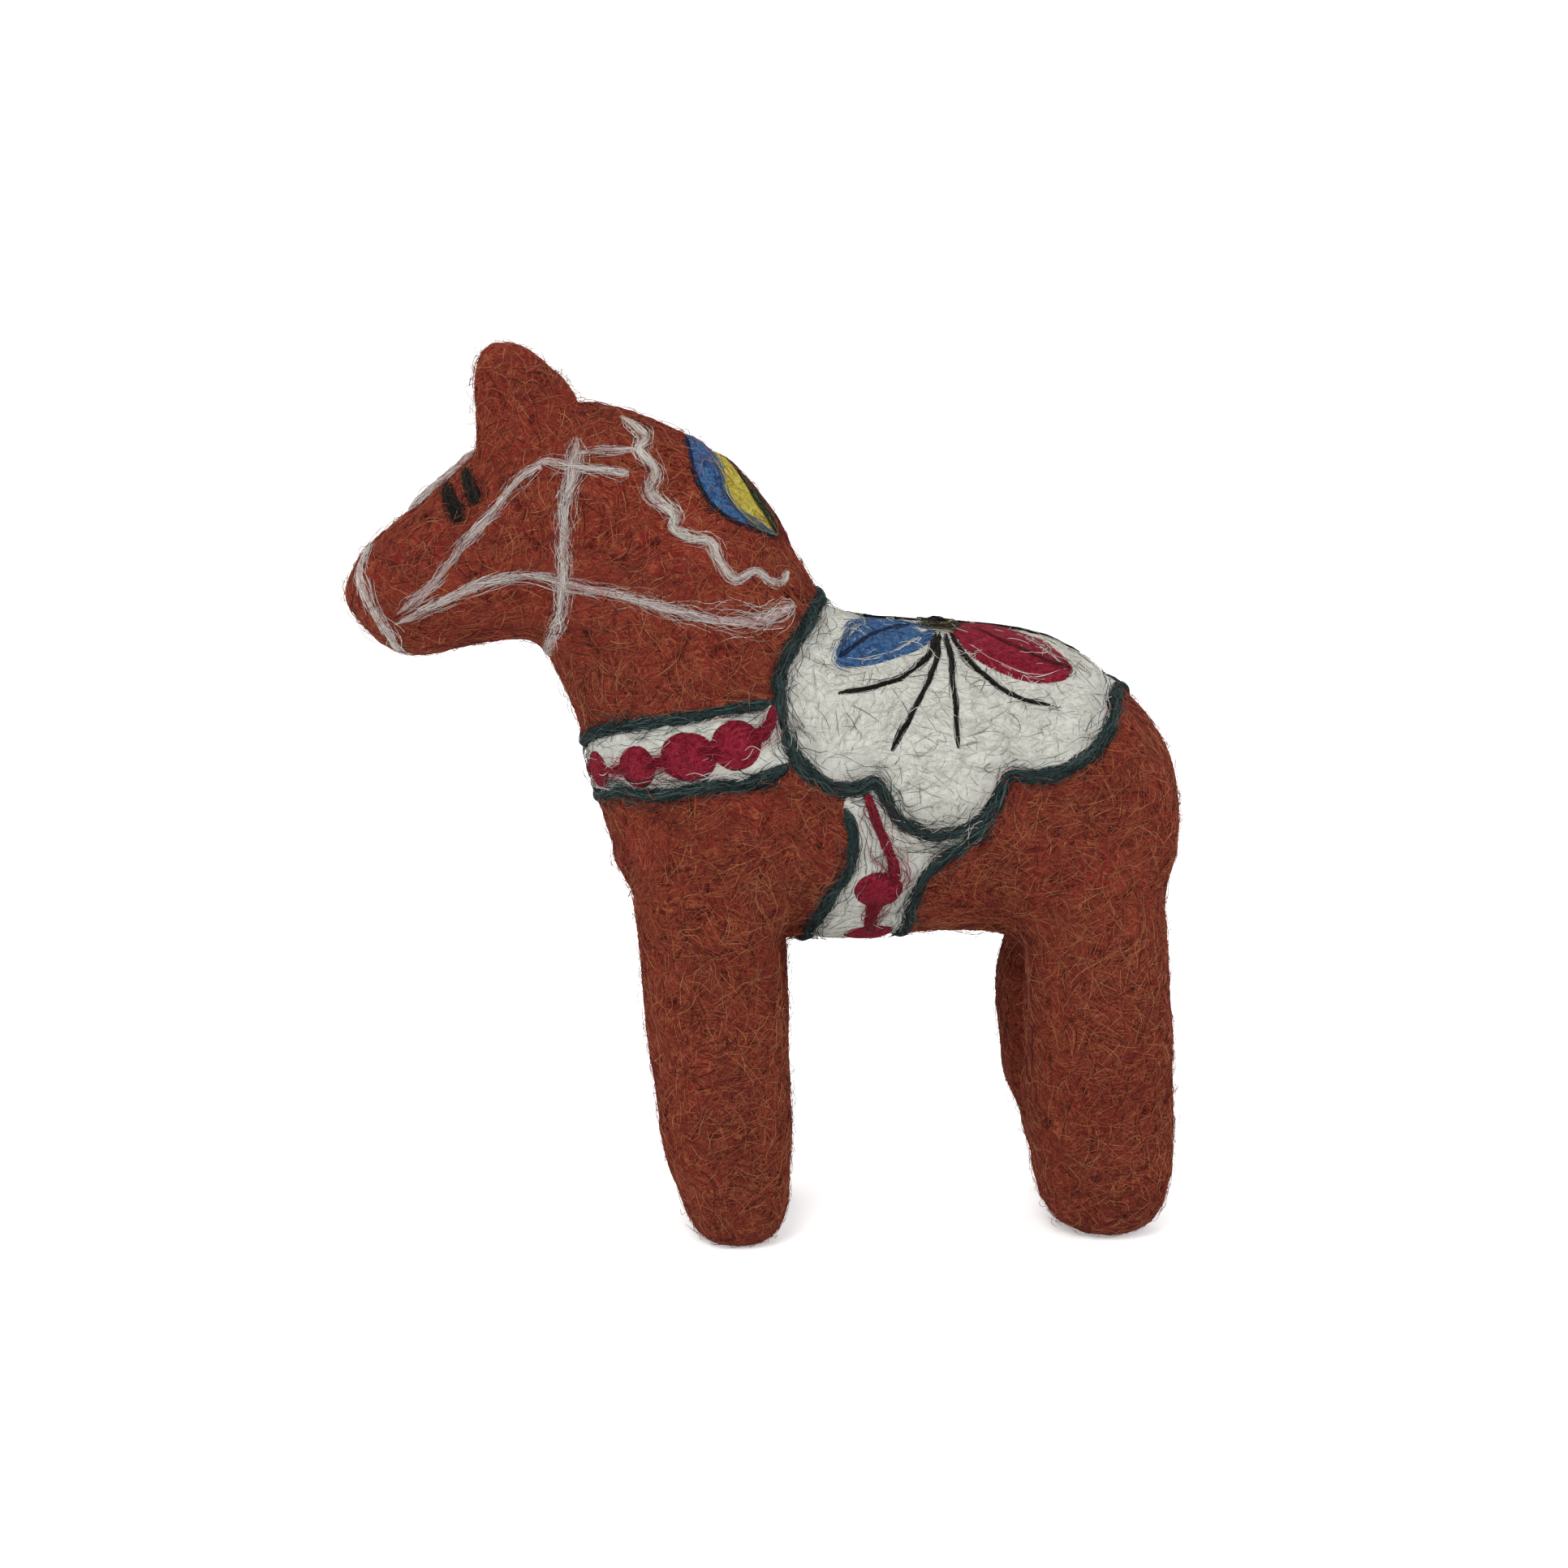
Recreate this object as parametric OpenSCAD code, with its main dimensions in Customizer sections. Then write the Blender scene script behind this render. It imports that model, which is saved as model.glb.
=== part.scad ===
// Needle-felted dala horse. It faces -X, its left side is at -Y, and it stands on Z = 0.

/* [Wool] */
// Thickness of the coloured coat over the undyed core
coat_t = 2.4; // [1.5:0.1:3]
// Clearance between a laid-on piece and what it lies on
felt_gap = 0.15; // [0.1:0.05:0.3]
// Facets round the body
body_sides = 24; // [20:4:36]
// Rings for each body station
rings_per_station = 1.5; // [1:0.5:2]

/* [Legs] */
// Radius of a front leg at half its height
front_leg_r = 7.4; // [6.5:0.1:7.8]
// Radius of a hind leg at half its height
hind_leg_r = 9.1; // [8:0.1:9.2]
// Place of the left front leg along the body
front_leg_x = -5.9; // [-8:0.1:-4]
// How far the right front leg stands behind the left one
front_leg_step = 2.2; // [0:0.1:4]
// Place of the left hind leg along the body
hind_leg_x = 40.8; // [39:0.1:41]
// Distance of each leg's axis from the middle plane
leg_y = 9.2; // [9:0.1:10]
// Radius of the flat sole under each foot, as a share of the leg's radius
sole_share = 0.4; // [0.3:0.05:0.5]

/* [Ears] */
// Distance of each ear from the middle plane
ear_y = 4.2; // [4:0.1:6]
// Thickness of an ear at its base
ear_t = 5.0; // [4:0.1:6]

/* [Saddle] */
// Thickness of the saddle blanket
blanket_t = 0.8; // [0.5:0.1:1.2]
// Width of a teal edging strand
edging_w = 1.6; // [0.8:0.1:1.8]
// Height of a teal edging strand
edging_h = 0.9; // [0.5:0.1:1.2]
// Thickness of a flower petal
petal_t = 0.6; // [0.4:0.1:1]
// Width of a black flower stem
stem_w = 0.9; // [0.6:0.1:1.4]

/* [Straps] */
// Thickness of the white breast strap and girth
band_t = 0.6; // [0.4:0.1:1]
// Width of a bridle strand
bridle_w = 1.3; // [0.7:0.1:1.4]
// Height of a bridle strand
bridle_h = 0.7; // [0.4:0.1:1]
// Height of the crimson chain and drops
crimson_h = 1.1; // [0.7:0.1:1.6]

/* [Hidden] */

// Cross-sections from rump to muzzle: top x, top z, bottom x, bottom z, half width
body_stations = [
    [51.0, 55.2, 51.0, 51.0, 2.4],
    [50.0, 60.5, 50.4, 44.5, 11.0],
    [46.8, 65.4, 48.2, 39.2, 15.4],
    [41.5, 70.2, 43.0, 36.6, 17.2],
    [34.3, 73.9, 35.5, 35.8, 17.8],
    [26.0, 75.3, 27.0, 36.8, 17.9],
    [18.0, 75.8, 19.0, 37.0, 18.0],
    [12.0, 76.5, 11.0, 36.2, 17.7],
    [8.8, 77.7, 1.5, 36.6, 17.2],
    [7.2, 78.9, -9.0, 38.4, 16.8],
    [6.2, 80.4, -17.0, 44.2, 16.0],
    [5.0, 82.5, -20.1, 51.6, 14.9],
    [3.2, 85.3, -21.8, 58.6, 13.4],
    [0.4, 90.1, -23.6, 65.1, 11.6],
    [-3.6, 94.8, -25.9, 70.3, 10.2],
    [-9.5, 99.0, -27.2, 72.4, 9.3],
    [-16.5, 101.7, -28.3, 73.1, 8.9],
    [-24.0, 102.9, -29.8, 73.3, 8.9],
    [-31.0, 100.3, -32.2, 73.1, 8.9],
    [-37.2, 95.6, -35.5, 72.7, 8.5],
    [-42.1, 90.9, -39.5, 71.9, 7.9],
    [-46.3, 87.5, -43.3, 71.7, 7.2],
    [-49.2, 84.6, -46.9, 73.0, 6.2],
    [-50.5, 82.0, -49.3, 75.4, 4.5],
    [-50.9, 79.9, -50.7, 77.9, 1.8]
];
last_station = len(body_stations) - 1;
// Station where the torso coat meets the neck coat
neck_seam = 9;
on_blanket = blanket_t + felt_gap;
on_band = band_t + felt_gap;
small = 0.001;
slope_step = 0.05;
search_steps = 18;
strand_section = [[-0.5, 0], [-0.36, 0.72], [0, 1], [0.36, 0.72], [0.5, 0]];

// Leg outline from sole to knee: radius as a share of the leg's, height
knee_z = 25;
leg_outline = [[sole_share, 0], [0.56, 0.6], [0.72, 1.8], [0.87, 4.2], [0.96, 8], [1.0, 14], [1.0, knee_z]];
leg_sides = 20;
rings_above_knee = 3;
// Where a leg meets the belly: x from the leg's axis, distance from the middle plane, two radii
front_leg_top = [-1.6, 7.8, 8.5, 5.8];
left_hind_leg_top = [-0.8, 8.6, 8.5, 8.1];
right_hind_leg_top = [-0.5, 8.6, 8.0, 7.8];
// How far the sole stands behind the knee
front_lean = 1.5;
left_hind_lean = 0.8;
right_hind_lean = 3.0;
// The right hind leg stands a little further back and is slimmer
right_hind_step = 0.4;
right_hind_slimmer = 0.9;
// Rings that close a leg core's top, and an ear's foot, as shares of the outer one
core_cap_shares = [0.65, 0.3, 0.05];
ear_foot_shares = [0.05, 0.3, 0.6, 0.8, 1];
// Limit to how near the widest line of the body a seat may lie
steepest = 0.99;

// Ear cross-sections from base to tip: front x, rear x, height, share of the base thickness
ear_sections = [
    [-35.2, -22.0, 100.0, 1.0], [-35.4, -24.4, 104.0, 0.96],
    [-35.2, -26.8, 106.4, 0.86], [-34.5, -28.8, 108.4, 0.68], [-33.4, -30.4, 109.7, 0.42],
    [-32.4, -31.4, 110.1, 0.16]
];
ear_sides = 14;

// Routes on the left side, each point as x, z, and where needed lift and width share
blanket_outline = [
    [5.2, 77.6], [1.0, 72.5], [0.1, 67.6], [1.0, 62.8], [3.2, 59.6], [6.2, 57.7], [9.2, 57.4],
    [11.4, 58.0], [12.6, 55.8], [14.0, 53.8], [17.2, 52.3], [21.4, 52.3], [24.6, 54.0],
    [26.2, 56.6], [27.6, 58.8], [30.4, 58.8], [34.0, 59.8], [37.4, 61.9], [39.6, 64.8],
    [41.2, 67.2], [43.4, 68.6]
];
// Stations where the blanket's front and rear edges cross the top line
blanket_spine = [9.1, 2.6];

front_petal_upper = [[17.4, 75.3], [13.4, 75.9], [9.0, 74.8], [6.9, 71.4]];
front_petal_lower = [[17.4, 74.6], [14.6, 71.9], [10.8, 71.0], [6.9, 71.2]];
rear_petal_upper = [[22.4, 74.9], [26.0, 74.9], [30.6, 73.4], [34.4, 70.2]];
rear_petal_lower = [[22.4, 74.2], [24.2, 71.6], [28.8, 69.9], [34.4, 70.0]];

side_stems = [
    [[18.3, 75.2], [17.4, 73.0], [14.5, 70.2], [10.8, 69.4], [6.6, 68.4]],
    [[19.2, 75.2], [18.8, 72.4], [17.6, 69.4], [15.6, 66.6], [13.4, 62.2]],
    [[20.4, 75.2], [20.3, 72.2], [20.0, 69.4], [20.2, 66.0], [20.6, 62.2]],
    [[21.4, 75.0], [21.8, 72.6], [24.0, 69.6], [28.0, 67.6], [31.4, 67.2]]
];

breast_upper = [[-22.4, 61.6], [-20.8, 63.4], [-16.0, 64.8], [-10.4, 65.8], [-5.0, 67.0], [-0.6, 67.6]];
breast_lower = [[-20.6, 54.8], [-18.4, 56.2], [-13.6, 56.6], [-7.6, 58.0], [-3.6, 58.2], [1.2, 60.6]];
breast_chain = [
    [-21.7, 58.6, 0, 3.6], [-19.8, 59.0, 0, 2.4], [-17.6, 59.6, 0, 4.6], [-14.6, 60.4, 0, 2.6],
    [-11.4, 61.0, 0, 5.4], [-8.2, 61.9, 0, 2.8], [-5.8, 62.5, 0, 5.0], [-3.2, 63.4, 0, 2.2],
    [-1.2, 65.2, 0, 1.0]
];
chain_spacing = 0.34;

girth_front = [[7.6, 55.2], [8.8, 51.6], [8.4, 47.6], [6.4, 43.4], [4.8, 38.4], [4.6, 36.2]];
girth_rear = [[25.6, 53.4], [23.0, 51.4], [18.6, 47.6], [16.8, 44.2], [16.6, 39.6], [16.6, 37.0]];
girth_top_sag = 12;
girth_drop = [
    [10.8, 53.8, 0, 0.9], [11.6, 51.8, 0, 1.0], [12.6, 49.4, 0, 1.2], [12.6, 47.2, 0, 3.4],
    [11.6, 44.6, 0, 5.4], [10.8, 42.2, 0, 3.4], [10.6, 40.4, 0, 1.8], [10.8, 38.2, 0, 4.8],
    [11.2, 36.8, 0, 3.0]
];

noseband_route = [
    [-48.4, 85.9], [-48.5, 83.6], [-47.8, 80.6], [-46.6, 77.6], [-45.4, 75.4], [-44.4, 72.4],
    [-43.6, 71.6]
];
cheek_route = [
    [-44.9, 77.4], [-42.4, 79.0], [-40.0, 81.4], [-37.0, 85.6], [-33.6, 89.6], [-30.0, 93.6],
    [-27.6, 95.0]
];
headstall_route = [[-26.4, 95.4], [-24.6, 94.8, 0.85], [-21.0, 94.4], [-17.4, 94.2]];
crown_route = [[-22.2, 96.4], [-19.8, 96.7], [-17.2, 96.8]];
throat_route = [
    [-23.4, 98.8], [-23.8, 94.6], [-24.8, 91.0], [-25.2, 85.8], [-25.2, 81.6, 0.85],
    [-25.6, 78.4], [-26.2, 75.4, 0.1], [-27.0, 72.6, 0.2]
];
rein_route = [
    [-45.2, 75.6, 0.75], [-40.2, 77.8], [-34.8, 80.4], [-30.4, 81.6], [-27.4, 81.4],
    [-25.2, 80.9, 0.05], [-21.6, 79.8], [-17.4, 78.4], [-11.0, 76.6], [-4.8, 75.6], [-0.4, 76.6],
    [2.4, 78.2]
];
rein_widths = [1, 1, 1, 1, 1, 1, 1, 1, 1.1, 1.2, 1.35, 1.5];
eye_front_bar = [[-38.8, 92.4], [-38.2, 90.6], [-37.4, 88.6]];
eye_rear_bar = [[-36.2, 94.0], [-36.6, 91.8], [-35.4, 90.2]];
zigzag_route = [
    [-17.6, 100.6], [-14.8, 98.6], [-15.8, 97.2], [-13.9, 94.8], [-14.7, 92.4], [-11.8, 89.6],
    [-12.1, 88.0], [-9.6, 86.7], [-7.6, 86.4], [-6.8, 84.6], [-5.8, 82.9], [-4.4, 82.0],
    [-2.0, 82.8], [-0.4, 81.6], [1.4, 81.5], [2.0, 82.6]
];
leaf_gap = 0.1;
// Borders between the crest leaf's stripes, from the zigzag's side to the crest
leaf_borders = [
    [[-9.8, 98.2], [-9.8, 94.4], [-8.4, 91.0], [-5.4, 88.2], [-3.2, 87.0]],
    [[-7.4, 97.3], [-6.6, 95.2], [-5.6, 92.0], [-4.0, 88.8], [-3.0, 87.4]],
    [[-5.4, 95.8], [-4.0, 93.8], [-2.6, 91.0], [-1.2, 88.3], [-0.6, 86.9]],
    [[-4.6, 95.4], [-2.6, 93.2], [-1.0, 91.0], [0.2, 88.4], [1.0, 86.6]]
];

crimson_stripe_stations = [13.7, 13.1, 12.4, 11.7, 11.0];
blaze_stations = [18.7, 19.3, 20.0];
crest_stripe_w = 3.2;
blaze_w = 2.6;
eye_w = 1.8;

// Places along the back, each as x; any height above the back finds the same station
above_back = 75;
flower_centre_xs = [18.6, 19.8, 21.0];
flower_centre_w = 3.4;
flower_centre_h = 1.2;
front_spine_stem = [16.4, 13.6, 10.6];
rear_spine_stem = [23.2, 28.0, 33.0, 38.6];

// Steps along and across each sheet
blanket_steps = [26, 12];
breast_steps = [28, 4];
girth_steps = [24, 6];
petal_steps = [8, 4];
leaf_steps = [8, 2];
// A strand's width and height over its last rings, as shares of the full ones
end_shares = [0.35, 0.85];
// How much of an edging on a band lies inside the band's border, as a share of its width
band_inset = 0.35;
sag_sharpness = 6;

black = [0.08, 0.08, 0.08];
crimson = [0.6, 0.1, 0.22];
rust = [0.62, 0.28, 0.16];
red_rust = [0.57, 0.2, 0.15];
leg_brown = [0.5, 0.25, 0.14];
undyed = [0.9, 0.86, 0.76];
white_wool = [0.84, 0.84, 0.8];
pink_white = [0.8, 0.74, 0.74];
teal = [0.18, 0.28, 0.29];
blue = [0.18, 0.33, 0.6];
yellow = [0.8, 0.7, 0.24];
green = [0.1, 0.24, 0.2];

// A smooth curve through a list of equal-length vectors, at t from 0 to len - 1
function smooth(list, t) =
    let(
        last = len(list) - 1,
        i = max(0, min(last - 1, floor(t))),
        f = t - i,
        p0 = list[max(0, i - 1)],
        p1 = list[i],
        p2 = list[i + 1],
        p3 = list[min(last, i + 2)]
    )
    p1 + f * ((p2 - p0) / 2
        + f * ((2 * p0 - 5 * p1 + 4 * p2 - p3) / 2 + f * (3 * (p1 - p2) + p3 - p0) / 2));

function resample(list, steps) = [for (k = [0:steps]) smooth(list, k * (len(list) - 1) / steps)];
function unit(v) = v / max(norm(v), small);
function reversed(list) = [for (i = [len(list) - 1:-1:0]) list[i]];
function joined(lists) = [for (list = lists) for (item = list) item];

// A point of the horse's skin. Angle 90 is the top line, 0 the left side, -90 the bottom line.
function bare_skin(station, angle) =
    let(s = smooth(body_stations, max(0, min(last_station, station))))
    [
        (s[0] + s[2]) / 2 + (s[0] - s[2]) / 2 * sin(angle),
        -s[4] * cos(angle),
        (s[1] + s[3]) / 2 + (s[1] - s[3]) / 2 * sin(angle)
    ];
function outward(station, angle) =
    let(
        along = bare_skin(station + slope_step, angle) - bare_skin(station - slope_step, angle),
        around = bare_skin(station, angle + 1) - bare_skin(station, angle - 1)
    )
    unit(cross(around, along));
function skin(station, angle, lift) = bare_skin(station, angle) + lift * outward(station, angle);

// The station whose cross-section passes through a side-view point, by halving
function station_at(x, z, low = 0, high = last_station, steps = search_steps) =
    let(
        middle = (low + high) / 2,
        s = smooth(body_stations, middle),
        side = (x - (s[0] + s[2]) / 2) * (s[1] - s[3]) - (z - (s[1] + s[3]) / 2) * (s[0] - s[2])
    )
    steps == 0 ? middle
    : side < 0 ? station_at(x, z, middle, high, steps - 1)
    : station_at(x, z, low, middle, steps - 1);

function angle_at(x, z, station) =
    let(
        s = smooth(body_stations, station),
        half = [s[0] - s[2], s[1] - s[3]] / 2,
        from_middle = [x - (s[0] + s[2]) / 2, z - (s[1] + s[3]) / 2]
    )
    asin(max(-1, min(1, from_middle * half / (half * half))));

// Side-view points as skin places: station, angle, lift, width share
function on_left(route) = [
    for (p = route)
        let(station = station_at(p[0], p[1]))
        [station, angle_at(p[0], p[1], station), is_undef(p[2]) ? 0 : p[2], is_undef(p[3]) ? 1 : p[3]]
];
function on_spine(station) = [station, 90, 0, 1];
function mirror_place(p) = [p[0], 180 - p[1], p[2], p[3]];
function on_right(route) = [for (p = on_left(route)) mirror_place(p)];
// A route whose last point lies on the bottom line, carried round to the right side
function under(route) =
    let(left = on_left(route), n = len(left))
    concat([for (i = [0:n - 2]) left[i]], [[left[n - 1][0], -90, left[n - 1][2], left[n - 1][3]]],
        [for (i = [n - 2:-1:0]) [left[i][0], -180 - left[i][1], left[i][2], left[i][3]]]);

function turned_over(faces) = [for (face = faces) [face[0], face[2], face[1]]];
function signed_volume(points, faces) =
    let(parts = [for (f = faces) points[f[0]] * cross(points[f[1]], points[f[2]])])
    parts * [for (part = parts) 1 / 6];

// A solid through closed sections that all have the same number of points
module loft(sections, closed = false) {
    n = len(sections[0]);
    m = len(sections);
    function side(i, k) =
        let(here = i * n, next = (i + 1) % m * n, j = (k + 1) % n)
        [[here + k, here + j, next + j], [here + k, next + j, next + k]];
    function cap(first) = [
        for (k = [0:floor(n / 2) - 1])
            let(low = first + k, high = first + n - 1 - k)
            for (face = [[low, high, low + 1], [low + 1, high, high - 1]])
                if (face[0] != face[1] && face[0] != face[2] && face[1] != face[2]) face
    ];
    points = joined(sections);
    sides = [for (i = [0:closed ? m - 1 : m - 2]) for (k = [0:n - 1]) for (face = side(i, k)) face];
    ends = closed ? [] : concat(cap(0), turned_over(cap((m - 1) * n)));
    faces = concat(sides, ends);
    polyhedron(points, signed_volume(points, faces) < 0 ? faces : turned_over(faces));
}

function body_section(station, lift) =
    [for (k = [0:body_sides - 1]) skin(station, 360 * k / body_sides, lift)];
function body_sections(from, to, lift) =
    let(steps = max(1, round(abs(to - from) * rings_per_station)))
    [for (k = [0:steps]) body_section(from + (to - from) * k / steps, lift)];

// A strand of wool along skin places, half round, with soft ends
module strand(places, width, height, spacing = 0.5, lift = 0, inset = 0, closed = false) {
    steps = max(3, round((len(places) - 1) / spacing));
    line = resample(places, steps);
    centre = [for (p = line) skin(p[0], p[1], p[2] + lift + felt_gap)];
    count = closed ? steps : steps + 1;
    function before(i) = closed ? (i + count - 1) % count : max(0, i - 1);
    function after(i) = closed ? (i + 1) % count : min(steps, i + 1);
    function end_share(i) =
        let(near = min(i, steps - i))
        closed || near >= len(end_shares) ? 1 : end_shares[near];
    loft([
        for (i = [0:count - 1])
            let(
                up = outward(line[i][0], line[i][1]),
                across = unit(cross(up, centre[after(i)] - centre[before(i)])),
                share = end_share(i),
                w = width * line[i][3] * share
            )
            [for (q = strand_section) centre[i] + across * (inset + q[0] * w) + up * q[1] * height * share]
    ], closed);
}

// How far the hollow at a sheet's two ends reaches along it
function sag_share(t) = pow(1 - t, sag_sharpness) - pow(t, sag_sharpness);

// A flat piece between two lines of skin places. Its rows bow along the body to meet the
// stations in spine, and its end rows hollow round it by sag.
module sheet(edge_a, edge_b, grid, thickness, lift = 0, sag = 0, spine = []) {
    steps = grid[0];
    across = grid[1];
    a = resample(edge_a, steps);
    b = resample(edge_b, steps);
    function bow(t, straight) = spine == [] ? 0 : spine[0] + (spine[1] - spine[0]) * t - straight;
    function place(i, j) =
        let(t = i / steps, swell = sin(180 * j / across))
        a[i] + (b[i] - a[i]) * j / across + [bow(t, a[i][0]) * swell, -sag * sag_share(t) * swell, 0, 0];
    loft([
        for (i = [0:steps])
            concat(
                [for (j = [0:across]) let(p = place(i, j)) skin(p[0], p[1], lift + felt_gap)],
                [for (j = [across:-1:0]) let(p = place(i, j)) skin(p[0], p[1], lift + felt_gap + thickness)]
            )
    ]);
}

// ---- Body, neck and head ----
module body_core() {
    front = body_sections(neck_seam, last_station, -coat_t);
    color(undyed)
        loft(concat(body_sections(0, neck_seam, -coat_t), [for (i = [1:len(front) - 1]) front[i]]));
}

// Each coat is a cup over the core, open at the seam between torso and neck
module torso_coat() {
    outside = reversed(body_sections(0, neck_seam, 0));
    color(rust) loft(concat(body_sections(0, neck_seam, -coat_t), outside));
}

module neck_and_head_coat() {
    outside = reversed(body_sections(neck_seam, last_station, 0));
    color(red_rust) loft(concat(outside, body_sections(neck_seam, last_station, -coat_t)));
}

// ---- Legs ----
// The place where a point seen from above or below meets the skin, moved out by lift
function seat_station(x, y, side, low = 0, high = last_station, steps = search_steps) =
    let(
        middle = (low + high) / 2,
        s = smooth(body_stations, middle),
        here = (s[0] + s[2]) / 2 + side * (s[0] - s[2]) / 2 * sin(acos(min(steepest, abs(y) / s[4])))
    )
    steps == 0 ? middle
    : here > x ? seat_station(x, y, side, middle, high, steps - 1)
    : seat_station(x, y, side, low, middle, steps - 1);

function seat(x, y, side, lift) =
    let(
        station = seat_station(x, y, side),
        turn = acos(min(steepest, abs(y) / smooth(body_stations, station)[4])),
        left = side * turn
    )
    skin(station, y < 0 ? left : 180 - left, lift);

// A leg is its axis's x and y, its radius, its top's x, y and two radii, and its lean
function leg(x, side, r, top, lean) =
    [x, side * leg_y, r, x + top[0], side * top[1], top[2], top[3], lean];
function foot_ring(leg, p, inside) =
    let(r = p[0] * (leg[2] - inside), x = leg[0] + leg[7] * (1 - p[1] / knee_z))
    [
        for (k = [0:leg_sides - 1])
            let(turn = 360 * k / leg_sides)
            [x + r * cos(turn), leg[1] + r * sin(turn), max(p[1], inside)]
    ];
function top_ring(leg, inside, share = 1) = [
    for (k = [0:leg_sides - 1])
        let(turn = 360 * k / leg_sides)
        seat(leg[3] + share * (leg[5] - inside) * cos(turn), leg[4] + share * (leg[6] - inside) * sin(turn),
            -1, felt_gap)
];
function leg_rings(leg, inside) =
    let(
        foot = [for (p = leg_outline) foot_ring(leg, p, inside)],
        knee = foot[len(foot) - 1],
        top = top_ring(leg, inside)
    )
    concat(foot, [for (k = [1:rings_above_knee]) knee + (top - knee) * k / rings_above_knee]);

module leg_core(leg) {
    color(undyed)
        loft(concat(leg_rings(leg, coat_t), [for (share = core_cap_shares) top_ring(leg, coat_t, share)]));
}

module leg_coat(leg) {
    color(leg_brown) loft(concat(leg_rings(leg, coat_t), reversed(leg_rings(leg, 0))));
}

front_left_leg = leg(front_leg_x, -1, front_leg_r, front_leg_top, front_lean);
front_right_leg = leg(front_leg_x + front_leg_step, 1, front_leg_r, front_leg_top, front_lean);
hind_left_leg = leg(hind_leg_x, -1, hind_leg_r, left_hind_leg_top, left_hind_lean);
hind_right_leg = leg(
    hind_leg_x + right_hind_step, 1, hind_leg_r - right_hind_slimmer, right_hind_leg_top, right_hind_lean
);

module front_left_leg_core() { leg_core(front_left_leg); }
module front_right_leg_core() { leg_core(front_right_leg); }
module hind_left_leg_core() { leg_core(hind_left_leg); }
module hind_right_leg_core() { leg_core(hind_right_leg); }
module front_left_leg_coat() { leg_coat(front_left_leg); }
module front_right_leg_coat() { leg_coat(front_right_leg); }
module hind_left_leg_coat() { leg_coat(hind_left_leg); }
module hind_right_leg_coat() { leg_coat(hind_right_leg); }

// ---- Ears ----
function ear_point(s, y, k, share = 1) =
    let(turn = 360 * k / ear_sides)
    [
        (s[0] + s[1]) / 2 + share * (s[1] - s[0]) / 2 * cos(turn),
        y + share * ear_t / 2 * s[3] * sin(turn),
        s[2]
    ];

module ear(y) {
    base = ear_sections[0];
    function foot(share) = [
        for (k = [0:ear_sides - 1])
            let(p = ear_point(base, y, k, share))
            seat(p[0], p[1], 1, felt_gap)
    ];
    color(red_rust) loft(concat(
        [for (share = ear_foot_shares) foot(share)],
        [for (i = [1:len(ear_sections) - 1]) [for (k = [0:ear_sides - 1]) ear_point(ear_sections[i], y, k)]]
    ));
}

module left_ear() { ear(-ear_y); }
module right_ear() { ear(ear_y); }

// ---- Saddle ----
module saddle_blanket() {
    left = on_left(blanket_outline);
    color(white_wool)
        sheet(left, [for (p = left) mirror_place(p)], blanket_steps, blanket_t, spine = blanket_spine);
}

module saddle_edging() {
    left = on_left(blanket_outline);
    right = [for (p = reversed(left)) mirror_place(p)];
    loop = concat(left, [on_spine(blanket_spine[1])], right, [on_spine(blanket_spine[0])], [left[0]]);
    color(teal)
        strand(loop, edging_w, edging_h, lift = on_blanket + felt_gap, inset = edging_w / 2,
            closed = true);
}

module flower_centre() {
    places = [for (x = flower_centre_xs) on_spine(station_at(x, above_back))];
    color(black) strand(places, flower_centre_w, flower_centre_h, lift = on_blanket);
}

module stems(right) {
    for (route = side_stems)
        color(black) strand(right ? on_right(route) : on_left(route), stem_w, edging_h, lift = on_blanket);
}

module flower_stems_left() { stems(false); }
module flower_stems_right() { stems(true); }

module spine_stem(xs) {
    color(black)
        strand([for (x = xs) on_spine(station_at(x, above_back))], stem_w, edging_h, lift = on_blanket);
}

module flower_spine_stems() {
    spine_stem(front_spine_stem);
    spine_stem(rear_spine_stem);
}

module petal(upper, lower, tint, right) {
    color(tint)
        sheet(right ? on_right(upper) : on_left(upper), right ? on_right(lower) : on_left(lower),
            petal_steps, petal_t, lift = on_blanket);
}

module left_blue_petal() { petal(front_petal_upper, front_petal_lower, blue, false); }
module left_crimson_petal() { petal(rear_petal_upper, rear_petal_lower, crimson, false); }
module right_blue_petal() { petal(rear_petal_upper, rear_petal_lower, blue, true); }
module right_crimson_petal() { petal(front_petal_upper, front_petal_lower, crimson, true); }

// ---- Breast strap ----
module breast_strap() {
    color(white_wool)
        sheet(under(reversed(breast_upper)), under(reversed(breast_lower)), breast_steps, band_t);
}

module breast_strap_upper_edging() {
    color(teal)
        strand(under(reversed(breast_upper)), edging_w, edging_h, lift = on_band,
            inset = -band_inset * edging_w);
}

module breast_strap_lower_edging() {
    color(teal)
        strand(under(reversed(breast_lower)), edging_w, edging_h, lift = on_band,
            inset = band_inset * edging_w);
}

module breast_strap_chain() {
    color(crimson)
        strand(under(reversed(breast_chain)), 1, crimson_h, spacing = chain_spacing, lift = on_band);
}

// ---- Girth ----
module girth() {
    color(white_wool)
        sheet(under(girth_front), under(girth_rear), girth_steps, band_t, sag = girth_top_sag);
}

module girth_front_edging() {
    color(teal)
        strand(under(girth_front), edging_w, edging_h, lift = on_band,
            inset = band_inset * edging_w);
}

module girth_rear_edging() {
    color(teal)
        strand(under(girth_rear), edging_w, edging_h, lift = on_band,
            inset = -band_inset * edging_w);
}

module left_girth_drop() { color(crimson) strand(on_left(girth_drop), 1, crimson_h, lift = on_band); }
module right_girth_drop() { color(crimson) strand(on_right(girth_drop), 1, crimson_h, lift = on_band); }

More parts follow.
